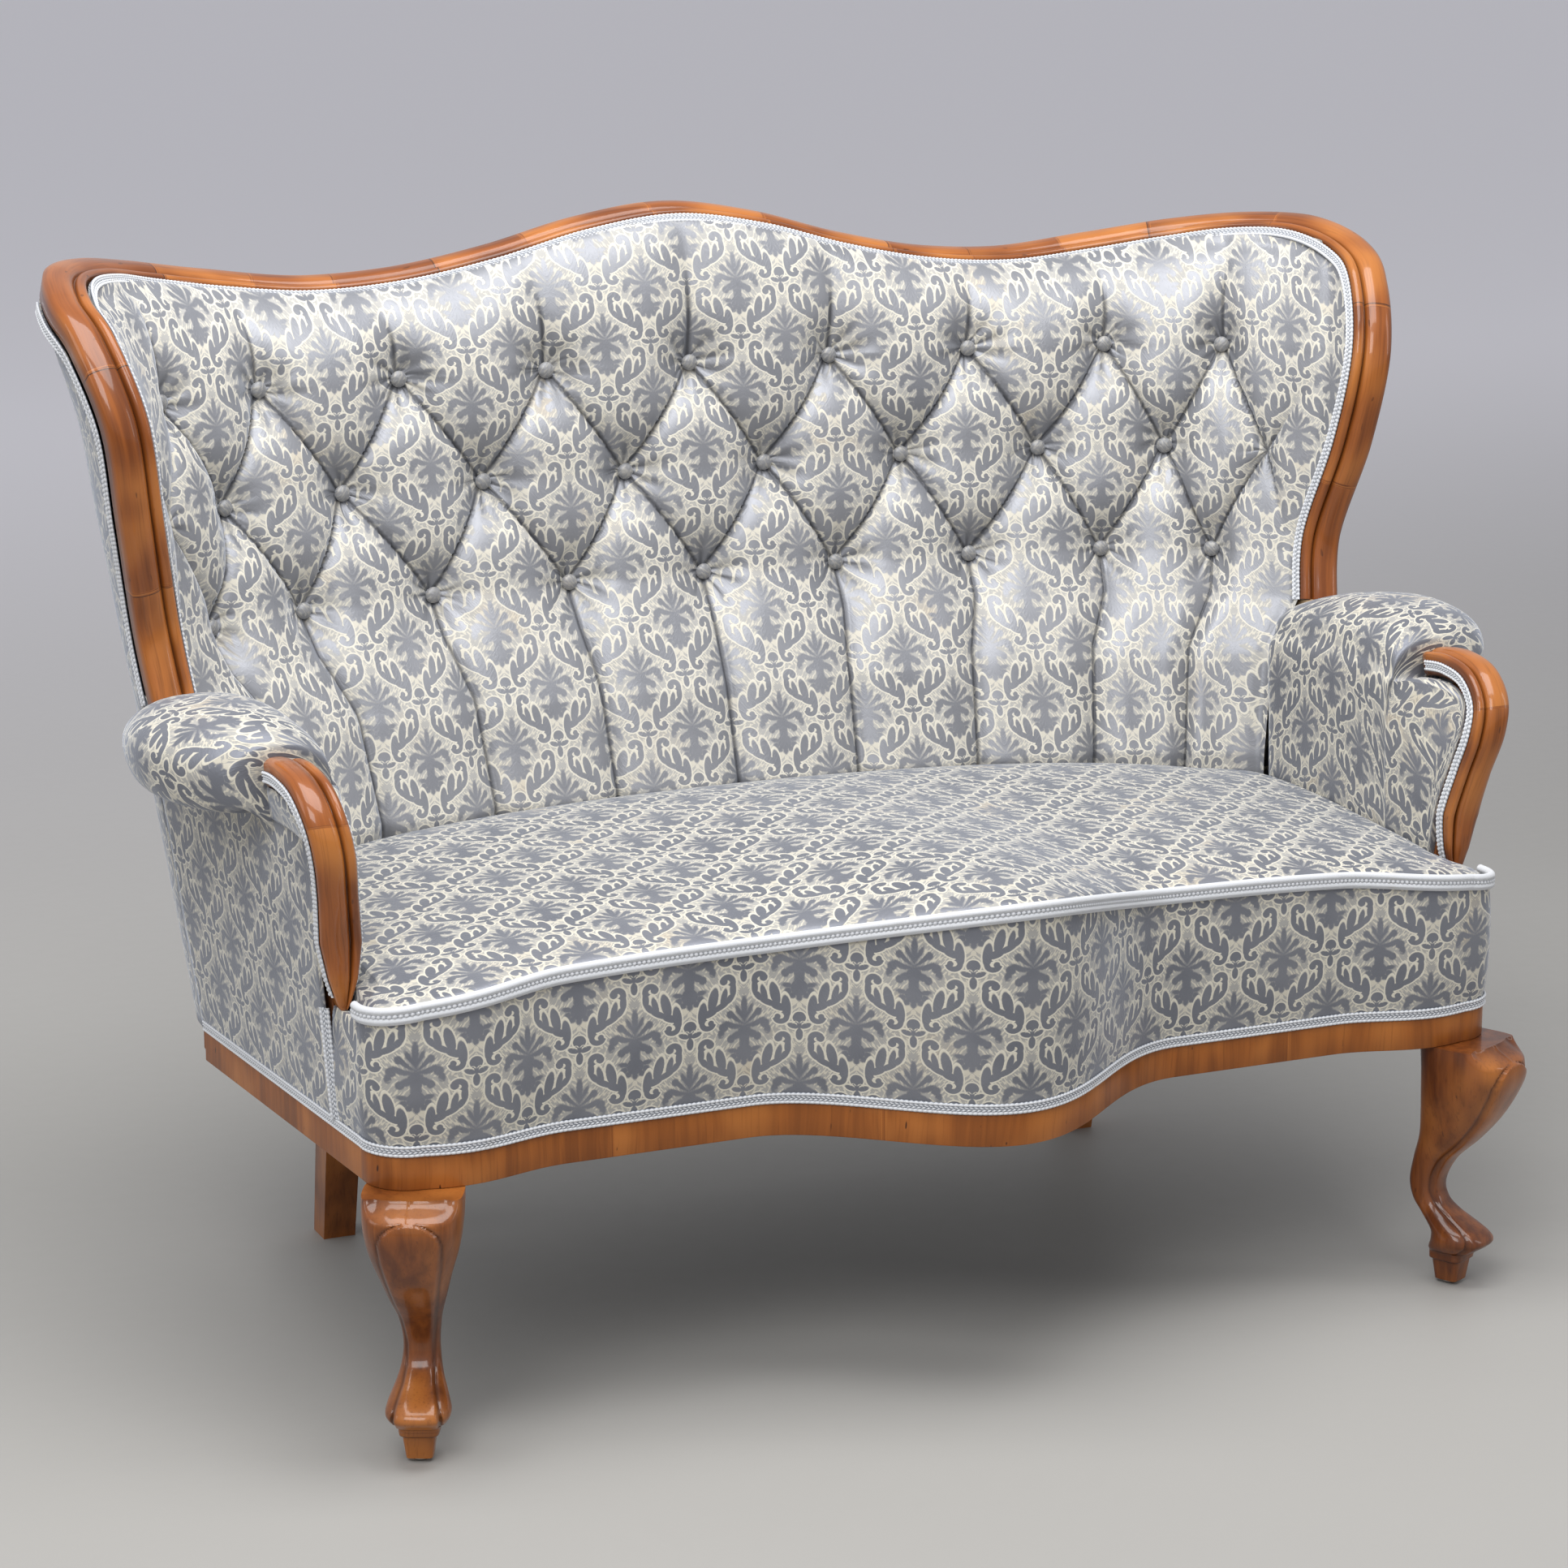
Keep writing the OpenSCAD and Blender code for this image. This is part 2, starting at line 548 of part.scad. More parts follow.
// Webbing straps run across the back behind the hessian
strap_heights = [low_row_h, mid_row_h, top_row_h];
module back_webbing() {
  color(linen)
    for (z = strap_heights)
      skin([for (c = [-4:0.5:4])
        [for (q = [[-1, 0], [0, 0], [1, 0], [1, 1], [0, 1], [-1, 1]])
          pad_pt(c, z + q[0] * strap_w / 2, -back_pad_t - 2 * clear - cloth_t * (1 + q[1]))]]);
}
module back_buttons() {
  color(fabric)
    for (r = [0:2])
      for (c = [for (i = [-4:4]) if (r != 1 || i < 4) i + (r == 1 ? 0.5 : 0)])
        let (z = top_row_h - r * row_step, n = sunk_normal(c, z))
          translate(pad_pt(c, z, mix(puff_h, lumbar_h, 0) * fold_share * (1 - pit_share) + clear))
            rotate([0, 0, atan2(n.y, n.x)])
              rotate([0, 90, 0])
                button_dome();
}
module button_dome() {
  rise = button_d * 0.26;
  rotate_extrude($fn = 24)
    polygon(concat([[0, 0]], [for (a = [0:15:90]) [button_d / 2 * cos(a), rise * (0.25 + 0.75 * sin(a))]]));
}

// Rear legs with the posts that run up to the crest

post_w = 40;
post_gap = 3.5;
post_t = 20;
crest_u_table = [for (i = [0:crest_steps]) [crest_pts[i].x, wing_from_steps * i / crest_steps]];
function under_wood(u, q) = wood_edge(u) + wood_across(u) * wood_w * q - wood_face(u) * (wood_t + clear);
function rect(c, hx, hy, z) =
  [[c.x - hx, c.y - hy, z], [c.x + hx, c.y - hy, z], [c.x + hx, c.y + hy, z], [c.x - hx, c.y + hy, z]];
rear_post_top = under_wood(lookup(rear_post_x, crest_u_table), 0.5);
function shell_y(x, z) =
  let (zt = lookup(x, out_crest_z_table), t = clamp((z - top_row_h) / (zt - top_row_h), 0, 1))
  outer_y(x, z) + (lookup(x, out_crest_y_table) - outer_y(x, zt)) * t * t;
function post_y(x, z) =
  min(shell_y(x - post_w / 2, z), shell_y(x + post_w / 2, z)) - panel_t - post_gap - post_t / 2;
function post_rect(x, z) = rect([x, post_y(x, z)], post_w / 2, post_t / 2, z);
function post_rows(x, z0, z1) = concat([post_rect(x, z0)],
  [for (k = [1:4]) let (z = mix(fabric_z, top_row_h, k / 4)) if (z > z0 + over) post_rect(x, z)],
  [for (t = [0.5, 1]) post_rect(x, mix(top_row_h, z1, t))]);
module right_rear_leg_at_place() {
  h = rear_leg_w / 2;
  t = rear_toe_w / 2;
  skin([rect([rear_foot_x, rear_foot_y], t, t, 0), rect([rear_post_x, rear_post_y], h, h, rail_z),
    rect([rear_post_x, rear_post_y], h, h, rail_top + over)]);
  skin(post_rows(rear_post_x, rail_top, rear_post_top.z - clear));
}
module left_rear_leg() {
  color(wood) mirror([1, 0, 0]) right_rear_leg_at_place();
}
module right_rear_leg() {
  color(wood) right_rear_leg_at_place();
}

// Outside shell of the back, from the seat rails to the underside of the show-wood

function under_edge(u) = wood_edge(u) + wood_across(u) * (wood_w - clear) - wood_face(u) * (wood_t + clear);
out_crest_pts = [for (i = [0:crest_steps]) under_edge(wing_from_steps * i / crest_steps)];
out_crest_z_table = [for (p = out_crest_pts) [p.x, p.z]];
out_crest_y_table = [for (p = out_crest_pts) [p.x, p.y]];
out_wing_pts = [for (i = [wing_steps:-1:0]) under_edge(mix(wing_from_steps, stile_end_steps,
  i / wing_steps))];
out_x_table = concat([[rail_z, rear_half_w], [fabric_z, rear_half_w]], [for (p = out_wing_pts) [p.z, p.x]]);
out_y_table = concat([[rail_z, side_end_y], [fabric_z, side_end_y]], [for (p = out_wing_pts) [p.z, p.y]]);
out_top_share = 1.045;
out_top_y = crest_back_y * out_top_share;
out_crest_y = crest_back_y + wood_w - panel_t;
out_mid_table = [[rail_z, rear_y], [fabric_z, rear_y], [top_row_h, out_top_y], [crest_h, out_crest_y]];
out_power_table = [[fabric_z, rear_power], [top_row_h, 3.3], [crest_h, 3.5]];
function outer_y(x, z) =
  let (w = lookup(z, out_x_table), y0 = lookup(z, out_y_table), y1 = lookup(z, out_mid_table),
    n = lookup(z, out_power_table))
  y0 + (y1 - y0) * pow(max(1 - pow(min(abs(x) / w, 1), n), 0), 1 / n);
function outer_x(s, z) = lookup(z, out_x_table) * sin(90 * s);
function outer_top(s) =
  lookup(min(abs(outer_x(s, crest_dip_h)), out_crest_pts[crest_steps].x), out_crest_z_table);
function outer_pt(s, z) =
  let (zt = outer_top(s), xt = abs(outer_x(s, zt)), x = outer_x(s, z),
    t = clamp((z - top_row_h) / (zt - top_row_h), 0, 1))
  [x, outer_y(x, z) + (lookup(xt, out_crest_y_table) - outer_y(xt, zt)) * t * t, z];
function outer_normal(s, z) =
  let (e = 0.01, a = outer_pt(clamp(s - e, -1, 1), z), b = outer_pt(clamp(s + e, -1, 1), z),
    t = unit(b - a)) [t.y, -t.x, 0];
function outer_ring(s) =
  let (h = concat([for (k = [0:4]) mix(fabric_z, top_row_h, k / 4)],
    [mix(top_row_h, outer_top(s), 0.5), outer_top(s) - clear]))
  concat([for (z = h) outer_pt(s, z)],
    [for (i = [len(h) - 1:-1:0]) outer_pt(s, h[i]) + outer_normal(s, h[i]) * (panel_t - clear)]);
wing_share = 0.55;
wing_end_share = 0.998;
module outside_back() {
  color(fabric) skin([for (i = [-8:8]) outer_ring(wing_share * i / 8)]);
}
module right_wing_cloth() {
  skin([for (i = [0:7]) outer_ring(mix(wing_share, wing_end_share, i / 7))]);
}
module left_outside_wing() {
  color(fabric) mirror([1, 0, 0]) right_wing_cloth();
}
module right_outside_wing() {
  color(fabric) right_wing_cloth();
}

// Posts that carry the wings, standing on the side rails

wing_post_t = 28;
function side_wall(z) = let (k = (z - fabric_z) / (wing_foot.z - fabric_z), p = under_edge(stile_end_steps))
  [mix(rear_half_w, p.x, k), mix(side_end_y, p.y, k)];
module right_wing_post_at_place() {
  skin([for (z = [rail_top, wing_foot.z - clear])
    let (p = side_wall(z),
      w = mix(rail_t - 2 * panel_t, wood_w * 0.8, (z - rail_top) / (wing_foot.z - rail_top)))
      rect([p.x - panel_t - clear - w / 2, p.y - wing_post_t / 2], w / 2, wing_post_t / 2, z)]);
}
module left_wing_post() {
  color("burlywood") mirror([1, 0, 0]) right_wing_post_at_place();
}
module right_wing_post() {
  color("burlywood") right_wing_post_at_place();
}

// Cross pieces of the back frame

back_rail_from_share = 0.607;
back_rail_to_share = 0.949;
back_rail_z = mix(rail_top, seat_rear_h, back_rail_from_share);
back_rail_h = mix(rail_top, seat_rear_h, back_rail_to_share) - back_rail_z;
back_rail_x = rear_post_x - post_w / 2;
back_rail_line = [for (i = [-8:8])
  let (x = back_rail_x * i / 8) [x, outer_y(x, back_rail_z) - panel_t - clear]];
module lower_back_rail() {
  color("burlywood")
    translate([0, 0, back_rail_z])
      linear_extrude(back_rail_h)
        polygon(concat(back_rail_line,
          [for (i = [len(back_rail_line) - 1:-1:0]) back_rail_line[i] - [0, post_t]]));
}
slat_top = under_wood(0, 0.5);
slat_z = back_rail_z + back_rail_h;
module back_slat() {
  color("burlywood")
    skin(post_rows(0, slat_z, slat_top.z - clear));
}

// Arms

facing_reach_shares = [0.479, 0.852];
facing_height_shares = [0.964, 0.943];
facing_spread_share = 1.043;
facing_start_y = front_y * facing_reach_shares[0];
facing_front_y = front_y * facing_reach_shares[1];
facing_tip_h = seat_edge_h * facing_height_shares[0];
facing_top_h = arm_h * facing_height_shares[1];
facing_top_x = front_half_w * facing_spread_share;
// Line of the facing from its start on the arm, over the front and down to the tip: shares of
// the way outward, forward and upward, and of the width
facing_shares = [
  [1.00, 0.00, 0.970, 0.70], [1.00, 0.12, 0.990, 1.00], [1.00, 0.40, 1.000, 1.00],
    [0.92, 0.73, 0.965, 1.00],
  [0.76, 0.96, 0.853, 1.00], [0.52, 1.00, 0.700, 1.00], [0.28, 0.90, 0.510, 0.95],
    [0.08, 0.80, 0.300, 1.00],
  [0.00, 0.78, 0.130, 0.68], [0.00, 0.78, 0.000, 0.16]
];
facing_line = [for (s = facing_shares)
  [mix(front_half_w, facing_top_x, s[0]), -mix(facing_start_y, facing_front_y, s[1]),
    mix(facing_tip_h, facing_top_h, s[2])]];
facing_widths = [for (s = facing_shares) s[3] * facing_w];
facing_end_steps = len(facing_shares) - 1;
function facing_mid(u) = curve(facing_line, u);
function facing_along(u) = unit(facing_mid(min(u + 0.05, facing_end_steps)) - facing_mid(max(u - 0.05, 0)));
function facing_face(u) = unit(cross(facing_along(u), [1, 0, 0]));
function facing_pt(u, across, up) = facing_mid(u) + [across, 0, 0] + facing_face(u) * up;
function facing_ring(u) =
  let (w = at_list(facing_widths,
    u)) [for (p = section(w, bead_h * min(w / facing_w * 1.2, 1), facing_t)) facing_pt(u, p.x - w / 2,
      p.y)];
module right_facing_at_place() {
  skin([for (i = [0:2 * facing_end_steps]) facing_ring(i / 2)]);
}
module left_arm_facing() {
  color(wood) mirror([1, 0, 0]) right_facing_at_place();
}
module right_arm_facing() {
  color(wood) right_facing_at_place();
}

// The post stands on the side rail and follows the back of the facing
arm_post_w = 20;
arm_post_rear = facing_start_y * 1.3;
post_in_x = arm_in_x + clear;
post_lean = (facing_top_x - facing_w / 2 - post_in_x) / (arm_roll_z - rail_top);
function post_x(z, side) = post_in_x + (z - rail_top) * post_lean + side * arm_post_w;
post_front = [for (i = [6:15]) let (p = facing_pt(i / 2, 0, -facing_t - clear)) [p.y, p.z]];
post_profile = concat([[-arm_post_rear, rail_top], [-arm_post_rear, post_front[0].y]], post_front,
  [[post_front[9].x, rail_top]]);
module right_arm_post_at_place() {
  skin([for (side = [0, 1]) [for (p = post_profile) [post_x(p.y, side), p.x, p.y]]]);
}
module left_arm_post() {
  color("burlywood") mirror([1, 0, 0]) right_arm_post_at_place();
}
module right_arm_post() {
  color("burlywood") right_arm_post_at_place();
}

// The arm rail runs from the arm post to the wing post under the roll
arm_rail_h = 36;
function arm_wall(y, z) =
  let (a = side_pt(seam_share), b = side_wall(z), k = (z - fabric_z) / (arm_roll_z - fabric_z))
  let (f = [mix(a.x, facing_top_x, k), a.y]) mix(f.x, b.x, (y - f.y) / (b.y - f.y));
module right_arm_rail_at_place() {
  z = arm_roll_z - arm_rail_h;
  y1 = side_wall(z).y - wing_post_t - clear;
  translate([0, 0, z])
    linear_extrude(arm_rail_h)
      polygon([[post_x(arm_roll_z, 0), -arm_post_rear + clear],
        [arm_wall(-arm_post_rear, z) - panel_t - clear, -arm_post_rear + clear],
        [arm_wall(y1, z) - panel_t - clear, y1], [arm_wall(y1, z) - panel_t - rail_t, y1]]);
}
module left_arm_rail() {
  color("burlywood") mirror([1, 0, 0]) right_arm_rail_at_place();
}
module right_arm_rail() {
  color("burlywood") right_arm_rail_at_place();
}

// Stuffed arm pads: a roll that overhangs the outside, and a lining down to the seat behind the facing
pad_rear_y = side_wall(arm_roll_z).y - wing_post_t - 2 * clear;
pad_front_y = -facing_start_y + over;
// Rows along the roll: share of the way forward, reach outward, height of the top, inner face
roll_shares = [
  [0.00, 0.72, 0.66, 1], [0.06, 0.79, 0.72, 0.05], [0.20, 0.90, 0.86, 0], [0.36, 0.97, 0.95, 0],
  [0.52, 1.00, 1.00, 0], [0.68, 0.98, 0.99, 0], [0.82, 0.90, 0.95, 0], [0.93, 0.78, 0.86, 0],
  [0.98, 0.66, 0.76, 0], [1.00, 0.56, 0.66, 0]
];
tail_z = seat_edge_h - welt_r * 4;
under_share = 0.45;
function flank_x(z) = post_x(z, 0) - 2 * clear;
function roll_ring(s) =
  let (y = mix(pad_rear_y, pad_front_y, s[0]), xi = arm_in_x + s[3] * rail_t,
    xo = mix(arm_in_x, arm_out_x, s[1]))
  let (zt = mix(arm_roll_z, arm_h, s[2]), zm = mix(arm_roll_z, zt, under_share), xc = (xi + xo) / 2)
  let (inner = [[xi, y, tail_z], [xi - panel_t * 0.5, y, mix(tail_z, arm_roll_z, 0.55)],
    [xi - panel_t, y, mix(arm_roll_z, zm, 0.3)]])
  let (top = [for (a = [0:30:180])
    let (q = squircle(180 - a, (xo - xi) / 2, zt - zm, 2.3)) [xc + q.x, y, zm + q.y]])
  let (low = [[mix(xi, xo, 0.93), y, mix(zm, arm_roll_z, 0.8)], [mix(xi, xo, 0.75), y, arm_roll_z + clear]])
  let (side = [max(flank_x(arm_roll_z), xi + 2 * clear), y, arm_roll_z + clear])
  concat(inner, top, low, [side, [max(flank_x(tail_z), xi + clear), y, tail_z]]);
// Forward of the roll the pad thins to a lining whose edge follows the back of the facing
flank_top = [for (i = [0:0.5:5]) let (p = facing_pt(i, 0, -facing_t - 2 * clear)) [-p.y, p.z]];
flank_curl = [for (i = [8:-0.5:5]) let (p = facing_pt(i, 0, -facing_t - 2 * clear)) [-p.y, p.z]];
flank_low = concat([[flank_curl[0].x - welt_r, tail_z]], flank_curl);
edge_x_table = [for (u = [8:-1:3]) let (p = facing_mid(u)) [p.z, p.x - at_list(facing_widths, u) / 2]];
function flank_in(z, k) = mix(arm_in_x, min(lookup(z, edge_x_table), flank_x(z) - cloth_t), k);
flank_shares = [0.012, 0.25, 0.50, 0.68, 0.76, 0.85, 0.93, 0.98];
function flank_ring(s) =
  let (y = mix(pad_front_y, -flank_curl[6].x, s), z0 = lookup(-y, flank_low), z1 = lookup(-y, flank_top))
  let (t = min(panel_t, (z1 - z0) / 3), zs = z1 - t, k = pow(min(s / 0.86, 1), 2), b = t * (1 - k))
  let (xi = flank_in(zs, k), xo = flank_x(z1), xc = (xi + xo) / 2)
  concat([for (h = [0, 0.5, 0.8]) let (z = mix(z0, zs, h)) [flank_in(z, k) - b * sign(h), y, z]],
    [for (a = [0:30:180]) let (q = squircle(180 - a, (xo - xi) / 2, t, 2.3)) [xc + q.x, y, zs + q.y]],
    [for (k = [0.75, 0.5, 0.25, 0]) let (z = mix(z0, zs, k)) [flank_x(z), y, z]]);
module right_pad_at_place() {
  skin(concat([for (s = roll_shares) roll_ring(s)], [for (s = flank_shares) flank_ring(s)]));
}
module left_arm_pad() {
  color(fabric) mirror([1, 0, 0]) right_pad_at_place();
}
module right_arm_pad() {
  color(fabric) right_pad_at_place();
}

// Flat outside panel of each arm, from the rebate of the side rail to the roll
seam_share = 0.14;
wall_top = arm_roll_z - clear;
wall_heights = [fabric_z, facing_tip_h - clear, facing_tip_h + 2 * welt_r,
  mix(facing_tip_h, wall_top, 0.5), wall_top];
wall_front_table = [for (p = flank_curl) [p.y, -p.x - clear]];
function wall_front(z) = z < facing_tip_h ? side_pt(seam_share).y : lookup(z, wall_front_table);
function wall_point(z, t, in) =
  let (y = mix(wall_front(z), side_end_y - clear, t)) [arm_wall(y, z) - in * (panel_t - clear), y, z];
module right_outside_arm_at_place() {
  skin([for (i = [0:6])
    concat([for (z = wall_heights) wall_point(z, i / 6, 0)],
      [for (k = [len(wall_heights) - 1:-1:0]) wall_point(wall_heights[k], i / 6, 1)])]);
}
module left_outside_arm() {
  color(fabric) mirror([1, 0, 0]) right_outside_arm_at_place();
}
module right_outside_arm() {
  color(fabric) right_outside_arm_at_place();
}

// Seat

// The fabric seam lies a little behind each front corner
band_half = concat(front_half, [side_pt(seam_share)]);
band_outline = both(band_half);
function band_top(p) =
  abs(p.x) > corner_x && p.y > -corner_y - over ? facing_tip_h - clear : edge_h(p.x) - welt_r;
module seat_front_band() {
  out = band_outline;
  swell_out = moved(out, band_t * 0.35);
  in = moved(out, -band_t + clear);
  color(fabric)
    skin([for (i = [0:len(out) - 1])
      let (z0 = fabric_z, z1 = band_top(out[i]), zm = mix(z0, z1, 0.55))
      [[out[i].x, out[i].y, z0], [swell_out[i].x, swell_out[i].y, zm], [out[i].x, out[i].y, z1],
        [in[i].x, in[i].y, z1], [in[i].x, in[i].y, z0]]]);
}
// Plan line of the seat's back edge, clear of the swollen lower back
rear_pts = [for (i = [0:4 * columns])
  let (c = i / 4, n = clamp((columns - 0.1 - c) * 1.3, 0, 1)) pad_pt(c, seat_rear_h,
    lumbar_h * sqrt(n) + clear)];
rear_table = [for (p = rear_pts) [p.x, p.y]];
band_inner = moved(front_outline, -band_t - clear);
seat_front = [for (i = [1:len(band_inner) - 2]) band_inner[i]];
seat_side_x = arm_in_x - panel_t - clear;
seat_rows = [0, 0.05, 0.12, 0.26, 0.44, 0.62, 0.80, 0.93, 1];
function seat_pt(q, t) =
  let (xr = q.x * seat_side_x / max(abs(seat_front[0].x), abs(q.x)), x = mix(q.x, xr, clamp(t / 0.1, 0, 1)))
  let (y = mix(q.y, lookup(abs(xr), rear_table) - clear, t),
    zr = seat_rear_h - seat_arch * 0.7 * pow(xr / seat_side_x, 2))
  let (round = 1 - pow(2 * t - 1, 4), flank = 1 - 0.6 * pow(abs(q.x) / front_half_w, 4))
  [x, y, mix(edge_h(q.x), zr, t) + seat_crown * round * flank];
module seat_cushion() {
  color(fabric)
    skin([for (q = seat_front)
      concat([for (t = seat_rows) seat_pt(q, t)],
        [for (i = [len(seat_rows) - 1:-1:0])
          let (p = seat_pt(q, seat_rows[i])) [p.x, p.y, cover_z + clear]])]);
}
welt_shares = [[0.9, 1.5], [0.9, 0.5], [0.4, 0], [0.9, -0.5], [0.9, -1.5], [0, -2], [-0.6, -1], [-0.6, 1],
  [0, 2]];
module seat_edge_welt() {
  color(braid)
    skin([for (i = [0:len(front_outline) - 1])
      let (p = front_outline[i], n = plan_normal(front_outline, i), z = edge_h(p.x) - welt_r)
      [for (w = welt_shares)
        let (o = p + n * (w[0] * welt_r + 0.6 * welt_r + clear)) [o.x, o.y, z + w[1] * welt_r]]]);
}

// Trim of braid

base_half = concat(front_half, [side_pt(0.5), side_pt(1)]);
module base_braid() {
  color(braid) strip(both(base_half), braid_t + clear, clear, fabric_z - braid_t, braid_w);
}
module crest_braid() {
  color(braid)
    skin([for (i = [-30:30]) let (u = stile_end_steps * i / 30)
      [for (q = [[-clear, 0], [-clear, 1], [-braid_w, 1], [-braid_w, 0]])
        wood_edge(u) + wood_across(u) * q[0] + wood_face(u) * (clear + braid_t * q[1])]]);
}
module right_wing_braid_at_place() {
  skin([for (i = [0:16]) let (u = mix(wing_from_steps, stile_end_steps, i / 16))
    [for (q = [[0, 0], [1, 0], [1, 1], [0, 1]])
      let (out = wood_w + q[0] * braid_t, down = wood_t + clear + q[1] * braid_w)
        wood_edge(u) + wood_across(u) * out - wood_face(u) * down]]);
}
module left_wing_braid() {
  color(braid) mirror([1, 0, 0]) right_wing_braid_at_place();
}
module right_wing_braid() {
  color(braid) right_wing_braid_at_place();
}
module facing_braid(side) {
  corners = side > 0 ? [[0, 0], [1, 0], [1, 1], [0, 1]] : [[0, 1], [1, 1], [1, 0], [0, 0]];
  skin([for (i = [2:17]) let (u = i / 2, w = at_list(facing_widths, u) / 2 + clear)
    [for (q = corners) facing_pt(u, side * (w + q[0] * braid_t), -braid_t - q[1] * braid_w)]]);
}
module right_arm_braid_at_place() {
  facing_braid(1);
  facing_braid(-1);
}
module left_arm_braid() {
  color(braid) mirror([1, 0, 0]) right_arm_braid_at_place();
}
module right_arm_braid() {
  color(braid) right_arm_braid_at_place();
}
module right_corner_braid_at_place() {
  z0 = fabric_z - braid_t + braid_w;
  k = braid_w / norm(side_pt(1) - side_pt(0));
  translate([0, 0, z0])
    linear_extrude(facing_tip_h - z0)
      polygon([side_pt(seam_share - k / 2, clear), side_pt(seam_share - k / 2, clear + braid_t),
        side_pt(seam_share + k / 2, clear + braid_t), side_pt(seam_share + k / 2, clear)]);
}
module left_corner_braid() {
  color(braid) mirror([1, 0, 0]) right_corner_braid_at_place();
}
module right_corner_braid() {
  color(braid) right_corner_braid_at_place();
}

// Inside of the seat

under_half = concat(moved(front_half, -rail_t / 2), [side_pt(1, -rail_t / 2)]);
under_outline = concat(both(under_half),
  [for (i = [len(rear_outline) - 2:-1:1]) rear_outline[i] - [0, rail_t * 0.8]]);
leg_room = knee_half_w * 1.25;
module under_sheet(z) {
  translate([0, 0, z])
    linear_extrude(cloth_t)
      difference() {
        intersection() {
          polygon(under_outline);
          children();
        }
        for (s = [-1, 1]) {
          translate([s * front_foot_x, -front_foot_y]) circle(r = leg_room, $fn = 32);
          translate([s * rear_post_x, rear_post_y]) circle(r = rear_leg_w, $fn = 32);
        }
      }
}
seat_d = front_y + rear_y;
strap_x_step = front_half_w * 0.248;
strap_y_step = seat_d * 0.18;
strap_back = seat_d * 0.162;
module seat_webbing() {
  color(linen) {
    under_sheet(rail_z - cloth_t)
      for (i = [-1:2])
        translate([0, i * strap_y_step - strap_back])
          square([2 * rear_half_w, strap_w], center = true);
    under_sheet(rail_z - 2 * cloth_t)
      for (i = [-3:3])
        translate([i * strap_x_step, 0])
          square([strap_w, 2 * crest_back_y], center = true);
  }
}
module dust_cover() {
  color("dimgray") under_sheet(rail_z - 3 * cloth_t) square(2 * rear_half_w, center = true);
}
module spring_cover() {
  color(linen)
    translate([0, 0, rail_top])
      linear_extrude(cloth_t)
        difference() {
          polygon(concat(moved(front_outline, -band_t - clear),
            [for (i = [columns:-1:-columns]) let (p = pad_pt(i, rail_top, -back_pad_t)) [p.x, p.y]]));
          for (s = [-1, 1]) {
            translate([s * rear_post_x, rear_post_y]) square(rear_leg_w + 2 * clear, center = true);
            translate([s * (arm_in_x + rail_t), 0]) square([2 * rail_t, 2 * front_y - 4 * rail_t],
              center = true);
          }
        }
}
wire_r = 1.8;
spring_end_r = 38;
spring_waist_r = 24;
spring_turns = 4;
spring_steps = 8;
module spring() {
  n = spring_turns * spring_steps;
  z0 = rail_z + wire_r;
  z1 = rail_top - wire_r;
  function mid(i) =
    let (t = i / n, r = mix(spring_waist_r, spring_end_r, pow(abs(2 * t - 1), 1.5)),
      a = 360 * i / spring_steps)
    [r * cos(a), r * sin(a), mix(z0, z1, t)];
  skin([for (i = [0:n]) let (a = 360 * i / spring_steps)
    [for (k = [0:2]) mid(i) + wire_r * [cos(a) * cos(120 * k), sin(a) * cos(120 * k), sin(120 * k)]]]);
}
spring_x_step = front_half_w * 0.4376;
spring_y_step = seat_d * 0.246;
spring_back = seat_d * 0.072;
module seat_springs() {
  color(steel)
    for (i = [-1.5:1:1.5], j = [-1:1])
      translate([i * spring_x_step, j * spring_y_step - spring_back, 0])
        spring();
}

front_rail();
left_side_rail();
right_side_rail();
rear_rail();
corner_blocks();
block_screws();
left_front_leg();
right_front_leg();
left_rear_leg();
right_rear_leg();
foot_glides();
seat_webbing();
seat_springs();
spring_cover();
dust_cover();
seat_cushion();
seat_front_band();
seat_edge_welt();
base_braid();
left_arm_post();
right_arm_post();
left_arm_rail();
right_arm_rail();
left_arm_facing();
right_arm_facing();
left_arm_pad();
right_arm_pad();
left_outside_arm();
right_outside_arm();
left_wing_post();
right_wing_post();
left_wing_stile();
right_wing_stile();
left_crest_corner();
right_crest_corner();
left_crest_rail();
right_crest_rail();
crest_centre();
lower_back_rail();
back_slat();
back_webbing();
back_hessian();
back_cushion();
back_buttons();
outside_back();
left_outside_wing();
right_outside_wing();
crest_braid();
left_wing_braid();
right_wing_braid();
left_arm_braid();
right_arm_braid();
left_corner_braid();
right_corner_braid();
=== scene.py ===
import math

import bmesh
import bpy
import numpy as np
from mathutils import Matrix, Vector


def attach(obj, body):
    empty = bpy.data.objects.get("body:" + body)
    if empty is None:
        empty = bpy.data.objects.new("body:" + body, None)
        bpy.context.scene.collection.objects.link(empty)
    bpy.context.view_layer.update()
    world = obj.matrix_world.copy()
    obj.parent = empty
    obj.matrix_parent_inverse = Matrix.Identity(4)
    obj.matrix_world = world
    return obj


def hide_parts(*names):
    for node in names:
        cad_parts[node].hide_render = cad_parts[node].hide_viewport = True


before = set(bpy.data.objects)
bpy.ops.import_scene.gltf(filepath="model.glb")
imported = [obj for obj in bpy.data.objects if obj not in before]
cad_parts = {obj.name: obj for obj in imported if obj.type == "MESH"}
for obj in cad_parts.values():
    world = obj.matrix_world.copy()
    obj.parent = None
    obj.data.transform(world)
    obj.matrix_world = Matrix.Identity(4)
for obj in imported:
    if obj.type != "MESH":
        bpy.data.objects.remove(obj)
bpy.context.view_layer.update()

MM = 0.001

